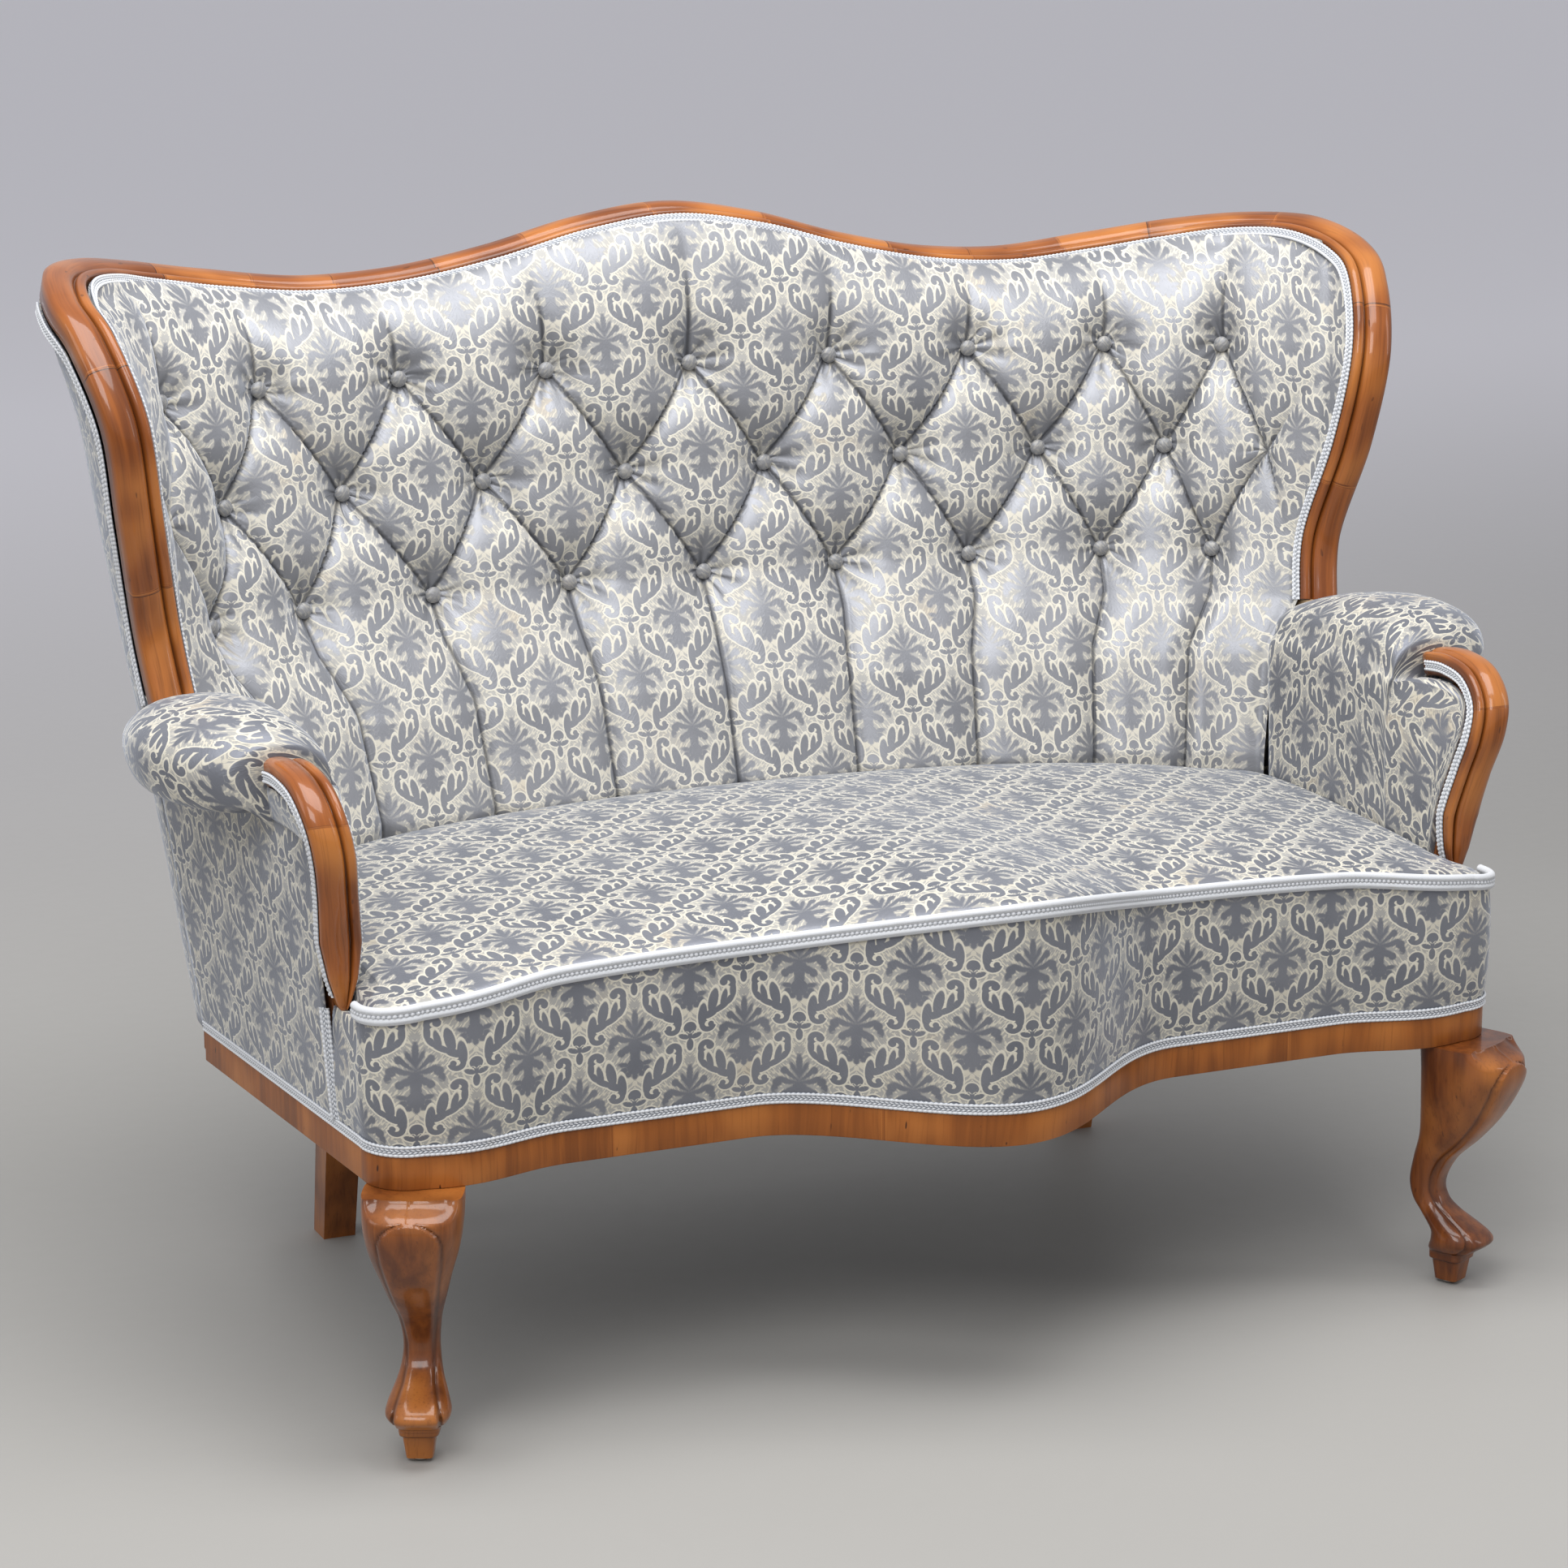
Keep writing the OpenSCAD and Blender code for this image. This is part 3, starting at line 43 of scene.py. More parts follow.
# Sizes in millimetres, the same as in the source of the solids
CREST_H, CREST_HALF_W, CREST_BACK_Y = 1046, 723, 392
RAIL_Z, SHOW_RAIL_H, RAIL_H, RAIL_T = 256, 33, 85, 28
FRONT_HALF_W, REAR_HALF_W, SIDE_END_Y = 585, 613, 122
REAR_Y, FRONT_Y, BELLY_D, BELLY_HALF_W = 297, 313, 122, 225
SHOULDER_D, CORNER_R, CORNER_TAIL = 20, 42, 6
FRONT_FOOT_X, FRONT_FOOT_Y, KNEE_HALF_W = 548, 315, 49
REAR_POST_X, REAR_POST_Y, REAR_LEG_W = 437, 236, 40
WOOD_W, WOOD_T, BEAD_H, FACING_W, FACING_T = 42, 20, 9, 38, 18
SEAT_EDGE_H, SEAT_ARCH, BELLY_LIFT = 418, 26, 38
SEAT_REAR_H, SEAT_CROWN, BAND_T, WELT_R = 458, 18, 10, 4.5
LOW_ROW_H, ROW_STEP, BUTTON_D, PUFF_H, LUMBAR_H = 665, 109, 17, 34, 50
PAD_SETBACK, BACK_PAD_T = 38, 12
ARM_H, ARM_IN_X, ARM_OUT_X, ARM_ROLL_Z = 650, 562, 716, 566
BRAID_W, BRAID_T, PANEL_T, STRAP_W, CLOTH_T, CLEAR = 11, 2, 6, 50, 1.5, 0.3
GLIDE_H = 4

FABRIC_Z = RAIL_Z + SHOW_RAIL_H
RAIL_TOP = RAIL_Z + RAIL_H
COVER_Z = RAIL_TOP + CLOTH_T
TOP_ROW_H = LOW_ROW_H + 2 * ROW_STEP
CORNER_X = FRONT_HALF_W - CORNER_R


# Arithmetic on points and tables

def mix(a, b, t):
    return a + (b - a) * t


def bump(t):
    """1 at the middle, fading to 0 at -1 and at 1"""
    return (1 + np.cos(np.pi * np.clip(np.abs(t), 0, 1))) / 2


def unit(v):
    return v / np.linalg.norm(v, axis=-1, keepdims=True)


def dot(a, b):
    return np.sum(a * b, axis=-1, keepdims=True)


def step(v, lo, hi):
    t = np.clip((v - lo) / (hi - lo), 0, 1)
    return t * t * (3 - 2 * t)


def across(a, b, count):
    """Even steps from a to b as one row"""
    return np.linspace(a, b, count)[None]


def down(a, b, count):
    """Even steps from a to b as one column"""
    return np.linspace(a, b, count)[:, None]


def stack(*values):
    """Points from their coordinates, which may have any shapes that fit"""
    return np.stack(np.broadcast_arrays(*values), axis=-1)


def lookup(v, table):
    table = np.asarray(table, float)
    return np.interp(v, table[:, 0], table[:, 1])


def curve(points, u, first=None):
    """A smooth curve through points; first is the point before the start"""
    points = np.asarray(points, float)
    before = points[:1] if first is None else np.asarray([first], float)
    p = np.concatenate([before, points, points[-1:]])
    s = np.clip(u, 0, len(points) - 1.00001)
    i = np.floor(s).astype(int)
    t = np.reshape(s - i, np.shape(s) + (1,) * (p.ndim - 1))
    a, b, c, d = p[i], p[i + 1], p[i + 2], p[i + 3]
    square, cube = (2 * a - 5 * b + 4 * c - d) * t * t, (3 * b - a - 3 * c + d) * t ** 3
    return (2 * b + (c - a) * t + square + cube) / 2


def arc(points):
    """Length along a row of points, from its start"""
    steps = np.linalg.norm(np.diff(points, axis=0), axis=-1)
    return np.concatenate([np.zeros((1,) + steps.shape[1:]), np.cumsum(steps, axis=0)])


def finer(grid, rows, cols):
    """A grid of points smoothed and divided into more rows and columns"""
    for count in (rows, cols):
        grid = np.swapaxes(curve(grid, np.linspace(0, len(grid) - 1, count)), 0, 1)
    return grid


# Plan of the seat frame

def serpent(x):
    shoulder = (np.abs(x) - FRONT_HALF_W * 0.863) / (BELLY_HALF_W * 0.46)
    return FRONT_Y + BELLY_D * bump(x / BELLY_HALF_W) + SHOULDER_D * bump(shoulder)


CORNER_Y = serpent(CORNER_X) - CORNER_R
SIDE_START = np.array([FRONT_HALF_W, CORNER_TAIL - CORNER_Y])
SIDE_END = np.array([REAR_HALF_W, SIDE_END_Y])
SIDE_DIR = unit(SIDE_END - SIDE_START)
SIDE_OUT = np.array([SIDE_DIR[1], -SIDE_DIR[0]])
SEAM_SHARE = 0.14


def side_pt(t):
    return mix(SIDE_START, SIDE_END, t)


def front_half():
    x = np.linspace(0, CORNER_X, 121)
    a = np.radians(np.linspace(0, 90, 13)[1:])
    corner = stack(CORNER_X + CORNER_R * np.sin(a), -CORNER_Y - CORNER_R * np.cos(a))
    return np.concatenate([stack(x, -serpent(x)), corner, [SIDE_START]])


def front_and_sides(share, count):
    """The plan line from the middle of the front to a share of the side"""
    return np.concatenate([front_half(), side_pt(np.linspace(0, share, count)[1:, None])])


def rear_line(x):
    share = np.clip(np.abs(x) / REAR_HALF_W, 0, 1)
    return SIDE_END_Y + (REAR_Y - SIDE_END_Y) * np.maximum(1 - share ** 2.8, 0) ** (1 / 2.8)


def both(half):
    half = np.asarray(half)
    return np.concatenate([half[:0:-1] * [-1, 1], half])


def plan_normals(line):
    t = unit(np.gradient(line, axis=0))
    return stack(t[:, 1], -t[:, 0])


def edge_h(x):
    share = np.clip(np.abs(x) / FRONT_HALF_W, 0, 1)
    return SEAT_EDGE_H + SEAT_ARCH * (1 - share ** 4) + BELLY_LIFT * bump(x / BELLY_HALF_W)


# The show-wood line of the crest and wings

EDGE_SHARES = [
    (0.000, 1.000, 0.9885), (0.138, 1.003, 0.976), (0.277, 1.008, 0.951), (0.415, 1.015, 0.933),
    (0.553, 1.015, 0.927), (0.685, 0.990, 0.936), (0.795, 0.912, 0.949), (0.871, 0.773, 0.960),
    (0.924, 0.621, 0.961), (0.942, 0.460, 0.947), (0.931, 0.331, 0.921), (0.906, 0.232, 0.851),
    (0.887, 0.255, 0.760), (0.862, 0.321, 0.662), (0.849, 0.290, 0.595)]
EDGE = np.array(EDGE_SHARES) * [CREST_HALF_W, CREST_BACK_Y, CREST_H]
LIE = [90, 90, 90, 89, 86, 77, 60, 38, 14, 0, -5, -9, -9, -5, -5]
RISE = [8, 8, 8, 8, 10, 14, 16, 14, 12, 6, -4, -2, 0, 0, 0]
LAST = len(EDGE) - 1
WING_FROM = 9


def wood_edge(u):
    u = np.asarray(u, float)
    return curve(EDGE, np.abs(u), EDGE[1] * [-1, 1, 1]) * stack(np.where(u < 0, -1, 1), 1, 1)


def wood_along(u):
    return unit(wood_edge(u + 0.05) - wood_edge(u - 0.05))


def wood_across(u):
    u = np.asarray(u, float)
    a, b = (np.radians(np.interp(np.abs(u), np.arange(LAST + 1), turn)) for turn in (LIE, RISE))
    v = stack(np.cos(a) * np.cos(b) * np.where(u < 0, -1, 1), np.sin(a) * np.cos(b), np.sin(b))
    t = wood_along(u)
    return unit(v - t * dot(t, v))


def wood_face(u):
    return unit(np.cross(wood_along(u), wood_across(u)))


# The buttoned surface of the inside back

CREST_PTS = wood_edge(np.linspace(0, WING_FROM, 37))
CREST_Z, CREST_Y = CREST_PTS[:, [0, 2]], CREST_PTS[:, [0, 1]]
WING_PTS = wood_edge(np.linspace(LAST, WING_FROM, 21))
ARM_SEAM_Y = WING_PTS[0][1] - 24
LOW_WING = [(RAIL_TOP, ARM_IN_X, ARM_SEAM_Y), (SEAT_REAR_H, ARM_IN_X, ARM_SEAM_Y),
            (ARM_ROLL_Z, ARM_IN_X + 18, ARM_SEAM_Y + 18)]
WING_X = [(z, x) for z, x, y in LOW_WING] + [(p[2], p[0]) for p in WING_PTS]
WING_Y = [(z, y) for z, x, y in LOW_WING] + [(p[2], p[1]) for p in WING_PTS]
SUNK = [(RAIL_TOP, REAR_Y - PAD_SETBACK + BACK_PAD_T), (SEAT_REAR_H, REAR_Y - PAD_SETBACK),
        (LOW_ROW_H, CREST_BACK_Y * 0.828), (LOW_ROW_H + ROW_STEP, CREST_BACK_Y * 0.884),
        (TOP_ROW_H, CREST_BACK_Y * 0.919), (CREST_H, CREST_BACK_Y)]
POWERS = [(LOW_ROW_H, 2.5), (LOW_ROW_H + ROW_STEP, 2.9), (TOP_ROW_H, 3.4), (CREST_H, 3.6)]
COLUMN_SHARES = [0, 0.160, 0.333, 0.530, 0.745, 1]
COLUMNS = 5
EDGE_GAP = CLOTH_T + CLEAR


def column_x(c, z):
    share = np.interp(np.abs(c), np.arange(6), COLUMN_SHARES) * np.sign(c)
    return (lookup(z, WING_X) - EDGE_GAP) * np.sin(np.radians(90 * share))


def bowed(x, z, widths, powers, sides, middles):
    """The plan of a back at a height: a flattened bow from its sides to its middle"""
    share, n = np.clip(np.abs(x) / widths, 0, 1), lookup(z, powers)
    y0, y1 = lookup(z, sides), lookup(z, middles)
    return y0 + (y1 - y0) * np.maximum(1 - share ** n, 0) ** (1 / n)


def sunk_y(x, z):
    return bowed(x, z, lookup(z, WING_X) - EDGE_GAP, POWERS, WING_Y, SUNK)


def top_z(c):
    x = np.minimum(np.abs(column_x(c, CREST_H * 0.94)), CREST_PTS[-1][0])
    return lookup(x, CREST_Z)


def crest_lift(z, top):
    """The share of the way from the top row of buttons to the crest, squared"""
    t = np.clip((z - TOP_ROW_H) / (top - TOP_ROW_H), 0, 1)
    return t * t


def sunk_pt(c, z):
    top, x = top_z(c), column_x(c, z)
    xt = np.abs(column_x(c, top))
    lift = (lookup(xt, CREST_Y) - EDGE_GAP - sunk_y(xt, top)) * crest_lift(z, top)
    return stack(x, sunk_y(x, z) + lift, z)


def sunk_normal(c, z):
    ends = [sunk_pt(np.clip(c + way, -COLUMNS, COLUMNS), z) for way in (0.05, -0.05)]
    t = unit(ends[0] - ends[1])
    return stack(t[..., 1], -t[..., 0], 0)


def pad_pt(c, z, off):
    return sunk_pt(c, z) + sunk_normal(c, z) * np.asarray(off)[..., None]


def nearest(v):
    return np.abs(v - np.round(v))


def buttons():
    """Column and row of every button"""
    return [(c + row % 2 / 2, row) for row in range(3) for c in range(-4, 5 - row % 2)]


COLUMN_MM = 150
PIT_R, FOLD_REACH = 30, 46


def fold_depths(c, z):
    """Distance in millimetres to the nearest folds and to the nearest button, and the row"""
    b = (TOP_ROW_H - z) / ROW_STEP
    half = np.clip(b, 0, 2) / 2
    slant = np.where((b > 0) & (b < 2), 0.8, 1)
    folds = [nearest(c + way) * COLUMN_MM * slant for way in (half, -half)]
    away = np.full(np.shape(c), 1e3)
    for column, row in buttons():
        away = np.minimum(away, np.hypot((c - column) * COLUMN_MM, (b - row) * ROW_STEP))
    return *folds, away, b


def puff(d):
    t = np.clip(d / FOLD_REACH, 0, 1)
    return np.sqrt(1 - (1 - t) ** 2)


def pad_edge(c):
    """The padding thins out over the last columns"""
    return np.sqrt(np.clip((COLUMNS - 0.1 - np.abs(c)) * 1.3, 0, 1))


def swell(c, z):
    d1, d2, away, b = fold_depths(c, z)
    high = np.clip((z - TOP_ROW_H) / (top_z(c) - TOP_ROW_H), 0, 1)
    low = np.clip(b - 2, 0, 1)
    size = mix(PUFF_H, LUMBAR_H, low) * np.sqrt(np.maximum(1 - high ** 2.4, 0)) * pad_edge(c)
    keep = mix(mix(0.46, 0.72, low), 1, puff(d1) * puff(d2))
    keep = keep - 0.10 * np.exp(-np.minimum(d1, d2) / 4)
    keep = mix(keep, 1, 0.75 * high ** 1.5)
    pit = 1 - 0.93 * np.exp(-(away / PIT_R) ** 1.6)
    keep = mix(1, keep, np.where(np.abs(c) < 4.6, 1, np.clip((5 - np.abs(c)) / 0.4, 0, 1)))
    row = np.round(b)
    angle = np.arctan2((b - row) * ROW_STEP, nearest(c + (row % 2) / 2) * COLUMN_MM + 1e-6)
    pucker = 1.1 * np.sin(angle * 9 + c) * np.exp(-((away - 24) / 16) ** 2)
    return size * keep * pit + pucker * np.minimum(size / PUFF_H, 1)


# Making pieces

def set_field(mesh, key, values):
    field = mesh.attributes.new(key, "FLOAT_VECTOR", "POINT")
    field.data.foreach_set("vector", np.asarray(values, float).ravel())


def put(name, points, faces, material, stands_for=(), uv=None, values=None):
    """A piece from points in millimetres, with its maps and values on its points"""
    mesh = bpy.data.meshes.new(name)
    points = np.asarray(points, float).reshape(-1, 3)
    mesh.from_pydata((points * MM).tolist(), [], [list(map(int, f)) for f in faces])
    if uv is not None:
        uv = np.asarray(uv, float).reshape(-1, 2) * MM
        layer = mesh.uv_layers.new(name="UVMap")
        corners = np.zeros(len(mesh.loops), int)
        mesh.loops.foreach_get("vertex_index", corners)
        layer.data.foreach_set("uv", uv[corners].ravel())
    for key, value in (values or {}).items():
        set_field(mesh, key, value)
    mesh.materials.append(material)
    bm = bmesh.new()
    bm.from_mesh(mesh)
    bmesh.ops.recalc_face_normals(bm, faces=bm.faces)
    bm.to_mesh(mesh)
    bm.free()
    mesh.polygons.foreach_set("use_smooth", [True] * len(mesh.polygons))
    return own(link(bpy.data.objects.new(name, mesh)), stands_for)


def link(thing):
    bpy.context.scene.collection.objects.link(thing)
    return thing


def own(piece, stands_for=()):
    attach(piece, "root")
    if stands_for:
        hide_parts(*stands_for)
    return piece


def grid_faces(rows, cols, wrap=False):
    i, j = np.meshgrid(np.arange(rows - 1), np.arange(cols if wrap else cols - 1), indexing="ij")
    k = (j + 1) % cols
    faces = stack(i * cols + j, i * cols + k, (i + 1) * cols + k, (i + 1) * cols + j)
    return faces.reshape(-1, 4).tolist()


def tube_faces(rows, cols):
    """The skin over rings of points, and a face over each end"""
    ends = [list(range(cols)), list(range((rows - 1) * cols, rows * cols))]
    return grid_faces(rows, cols, wrap=True) + ends


def join(parts):
    """Parts, each of points, faces and values on the points, as one"""
    points, faces, start = [], [], 0
    for part in parts:
        points.append(np.reshape(part[0], (-1, 3)))
        faces += [[i + start for i in face] for face in part[1]]
        start += len(points[-1])
    values = [np.concatenate([np.reshape(v, (-1, np.shape(v)[-1])) for v in column])
              for column in zip(*[part[2:] for part in parts])]
    return np.concatenate(points), faces, *values


def sheet_of(name, grid, thickness, material, stands_for=(), uv=None):
    """A thin piece: a grid of points and a second grid behind it, closed round the edge"""
    grid = np.asarray(grid, float)
    rows, cols = grid.shape[:2]
    n = rows * cols
    back = grid + unit(np.cross(*np.gradient(grid, axis=(0, 1)))) * thickness
    front = grid_faces(rows, cols)
    faces = front + [[i + n for i in f[::-1]] for f in front]
    rim = list(range(cols)) + [r * cols + cols - 1 for r in range(1, rows)]
    rim += [(rows - 1) * cols + c for c in range(cols - 2, -1, -1)]
    rim += [r * cols for r in range(rows - 2, 0, -1)]
    faces += [[a, b, b + n, a + n] for a, b in zip(rim, rim[1:] + rim[:1])]
    maps = None if uv is None else [uv, uv]
    return put(name, [grid, back], faces, material, stands_for, maps)


def cloth(name, grid, thickness, material, stands_for, uv=None):
    """A sheet stretched over the frame"""
    piece = sheet_of(name, grid, thickness, material, stands_for, uv)


def tube_of(name, rings, material, stands_for=(), uv=None, values=None):
    """A closed skin over rings of points, with a face over each end"""
    faces = tube_faces(*np.shape(rings)[:2])
    return put(name, rings, faces, material, stands_for, uv, values)


def side_of(points, side):
    return np.asarray(points) * [side, 1, 1]


def sided(side, name):
    return ("right_" if side > 0 else "left_") + name


def smooth_copy(node):
    """A copy of a solid's mesh, made of merged quads and smoothed, with its ends kept sharp"""
    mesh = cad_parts[node].data.copy()
    piece = link(bpy.data.objects.new(node + "_finished", mesh))
    pick(piece)
    bpy.ops.object.mode_set(mode="EDIT")
    bpy.ops.mesh.select_all(action="SELECT")
    bpy.ops.mesh.remove_doubles(threshold=0.00005)
    bpy.ops.mesh.customdata_custom_splitnormals_clear()
    flat = math.radians(60)
    bpy.ops.mesh.tris_convert_to_quads(face_threshold=flat, shape_threshold=flat)
    bpy.ops.mesh.select_all(action="DESELECT")
    bpy.ops.mesh.select_mode(type="EDGE")
    bpy.ops.mesh.edges_select_sharp(sharpness=math.radians(62))
    bpy.ops.transform.edge_crease(value=1)
    bpy.ops.object.mode_set(mode="OBJECT")
    rounder = piece.modifiers.new("rounder", "SUBSURF")
    rounder.levels = rounder.render_levels = 1
    bpy.ops.object.modifier_apply(modifier="rounder")
    soften(piece, 50)
    piece.data.materials.clear()
    return piece


def pick(piece):
    bpy.ops.object.select_all(action="DESELECT")
    bpy.context.view_layer.objects.active = piece
    piece.select_set(True)


# Paint: materials written as formulas

def operator(operation, turned=False):
    def work(self, *other):
        values = (self, *other)
        return self.paint.maths(operation, *(values[::-1] if turned else values))
    return work


class Value:
    """A socket of a material that can be added, multiplied and compared"""

    def __init__(self, paint, socket):
        self.paint, self.socket = paint, socket

    __add__, __radd__ = operator("ADD"), operator("ADD", True)
    __sub__, __rsub__ = operator("SUBTRACT"), operator("SUBTRACT", True)
    __mul__, __rmul__ = operator("MULTIPLY"), operator("MULTIPLY", True)
    __truediv__, __pow__, __abs__ = operator("DIVIDE"), operator("POWER"), operator("ABSOLUTE")
    whole, sine = operator("ROUND"), operator("SINE")


class Paint:
    """A material under construction"""

    def __init__(self, name):
        self.material = bpy.data.materials.new(name)
        self.material.use_nodes = True
        self.tree = self.material.node_tree
        self.tree.nodes.clear()
        self.shader = self.tree.nodes.new("ShaderNodeBsdfPrincipled")
        output = self.tree.nodes.new("ShaderNodeOutputMaterial")
        self.tree.links.new(self.shader.outputs[0], output.inputs[0])

    def set(self, socket, value):
        if isinstance(value, Value):
            self.tree.links.new(value.socket, socket)
        else:
            socket.default_value = value

    def node(self, kind, settings=(), values=(), out=0):
        made = self.tree.nodes.new("ShaderNode" + kind)
        for key, value in dict(settings).items():
            setattr(made, key, value)
        for key, value in dict(values).items():
            self.set(made.inputs[key], value)
        return Value(self, made.outputs[out])

    def maths(self, operation, *values):
        return self.node("Math", {"operation": operation}, enumerate(values))

    def least(self, a, b):
        return self.maths("MINIMUM", a, b)

    def most(self, a, b):
        return self.maths("MAXIMUM", a, b)

    def odd(self, value):
        return abs(self.maths("MODULO", value, 2))

    def ramp(self, value, lo, hi):
        return self.node("MapRange", {"interpolation_type": "SMOOTHSTEP"},
                         {"Value": value, "From Min": lo, "From Max": hi})

    def parts(self, vector):
        made = self.tree.nodes.new("ShaderNodeSeparateXYZ")
        self.set(made.inputs[0], vector)
        return [Value(self, made.outputs[i]) for i in range(3)]

    def vector(self, *values):
        return self.node("CombineXYZ", (), enumerate(values))

    def field(self, name):
        return self.parts(self.node("Attribute", {"attribute_name": name}, out="Vector"))

    def uv(self):
        return self.parts(self.node("UVMap", {"uv_map": "UVMap"}))

    def place(self):
        return self.node("TexCoord", out="Object")

    def noise(self, where, scale, detail=3, rough=0.5):
        values = {"Vector": where, "Scale": scale, "Detail": detail, "Roughness": rough}
        return self.node("TexNoise", (), values)

    def colour(self, factor, a, b):
        made = self.tree.nodes.new("ShaderNodeMix")
        made.data_type = "RGBA"
        self.set(made.inputs[0], factor)
        for socket, value in ((made.inputs[6], a), (made.inputs[7], b)):
            self.set(socket, value if isinstance(value, Value) else (*value, 1))
        return Value(self, made.outputs[2])

    def finish(self, colour, roughness, height, distance, strength, **more):
        """Closes the material; the relief's height becomes its normal"""
        relief = {"Height": height, "Distance": distance, "Strength": strength}
        values = {"Base_Color": colour, "Roughness": roughness,
                  "Normal": self.node("Bump", (), relief), **more}
        for key, value in values.items():
            self.set(self.shader.inputs[key.replace("_", " ")], value)
        return self.material


# The damask: palmettes, small trefoils and curled leaves in a half-drop lattice

# Millimetres of a thread of the cover and of a ply of the braid, and metres of the finest relief
THREAD_MM, PLY_MM, WEAVE = 0.9, 1.1, 0.0004
REPEAT_W, REPEAT_H = 107, 116
# The motifs' own millimetres in one millimetre of cloth, across and up
SLIM, SHORT = 1.04, 1.12
# Petals: middle, half length and half width in millimetres, and lean from upright in degrees
PALMETTE = [
    (0, 26, 12.5, 3.7, 0), (5.4, 20, 10, 3.0, 20), (8.6, 14.6, 10.5, 3.6, 47),
    (14.4, 18.6, 4.6, 4.3, 0), (13, 7.6, 10.5, 4.2, 70), (21.3, 5.8, 5.4, 5.2, 0),
    (23.8, -0.4, 6, 3.8, -8), (8, -4, 8.5, 4.4, 115), (13.6, -7.4, 4.8, 4.6, 0),
    (0, 4, 21, 7.6, 0), (0, -14, 8, 5.6, 0), (0, -23, 9.5, 9.2, 0), (11.6, -20.2, 6.5, 3.0, 80),
    (10.8, -26.4, 4.2, 4.0, 0), (6.6, -31, 3.8, 3.6, 0), (0, -33.2, 4.4, 3.3, 0)]
PALMETTE_VEINS = [(9.8, 20.6, 8.2, 0.8, 38), (14.8, 12.2, 7, 0.8, 66), (15.4, -0.8, 5.4, 0.8, 112)]
TREFOIL = [
    (0, 10.2, 6.2, 6.4, 0), (0, 3.2, 5.0, 2.2, 0), (6.3, 1.6, 5.4, 2.6, 70),
    (0, -7.4, 6.2, 3.4, 0)]
TREFOIL_VEINS = [(1.9, 5.6, 2.0, 0.7, 50), (5.2, 5.4, 2.4, 0.7, 128)]
LEAF = [
    (-15.8, 15.6, 8.6, 3.2, -2), (-12.4, 6.2, 6.2, 3.1, -38), (-2.2, -1.4, 10, 3.1, 117),
    (-6.4, 8.2, 9.3, 3.0, -14), (4.6, 7, 12.4, 4.8, -13), (15.7, -7, 12, 4.5, -6),
    (8.4, -6.6, 8, 3.9, 112)]
# Hooks of the leaf: middle, radius and half width of the ring, where it is cut, and its ball
HOOKS = [
    ((-10.6, 23.4), 5.3, 3.0, (-0.55, 0.84, 2.0), (-6.5, 25.0), 4.0),
    ((10.6, -16.6), 5.8, 2.7, (0.55, -0.84, 2.5), (7.2, -17.2), 2.9)]


def reach(dx, dy):
    return (dx * dx + dy * dy) ** 0.5


def petals(paint, x, y, table):
    """Distance inside a group of petals"""
    inside = None
    for mx, my, length, width, lean in table:
        c, q = math.cos(math.radians(lean)), math.sin(math.radians(lean))
        dx, dy = x - mx, y - my
        a, b = (dx * q + dy * c) / length, (dx * c - dy * q) / width
        one = (1 - reach(a, b)) * width
        inside = one if inside is None else paint.most(inside, one)
    return inside


def veined(paint, x, y, table, veins):
    """Petals parted by thin veins"""
    return paint.least(petals(paint, x, y, table), 0 - petals(paint, x, y, veins))


def leaf(paint, x, y):
    inside = petals(paint, x, y, LEAF)
    for (cx, cy), radius, half, cut, (bx, by), ball in HOOKS:
        dx, dy = x - cx, y - cy
        ring = paint.least(half - abs(reach(dx, dy) - radius), dx * cut[0] + dy * cut[1] + cut[2])
        inside = paint.most(inside, paint.most(ring, ball - reach(x - bx, y - by)))
    return inside


def off_whole(value):
    return value - value.whole()


def mirrored(side, share):
    """The way across the repeat, mirrored half a repeat on where share is 1"""
    return side + share * (0.5 - side * 2)


def damask(paint, u, v):
    """The pattern at u, v in millimetres: leaves, palmettes, and the flow of the ground"""
    up = v / REPEAT_H
    side = abs(off_whole(u / REPEAT_W))
    cell_up = off_whole(up)
    dropped = paint.maths("GREATER_THAN", side + abs(cell_up), 0.5)
    cell_side = mirrored(side, dropped)
    cell_up = cell_up - dropped * paint.maths("SIGN", cell_up) * 0.5
    half = (up * 2).whole()
    side = mirrored(side, paint.odd(half))
    row = (up - half / 2) * REPEAT_H
    below = paint.maths("LESS_THAN", row, 0)
    x = mirrored(side, below) * REPEAT_W - REPEAT_W / 4
    y = row + below * (REPEAT_H / 2) - REPEAT_H / 4
    trefoil = veined(paint, (0.5 - side) * REPEAT_W * SLIM, row * SHORT, TREFOIL, TREFOIL_VEINS)
    leaves = paint.most(leaf(paint, (x + 0.75) * SLIM, (y + 3.1) * SHORT), trefoil)
    palmette = veined(paint, cell_side * REPEAT_W * SLIM, cell_up * REPEAT_H * SHORT,
                      PALMETTE, PALMETTE_VEINS)
    flow = paint.vector(x * 0.76 - y * 0.65, (x * 0.65 + y * 0.76) * 0.28)
    return leaves, palmette, flow


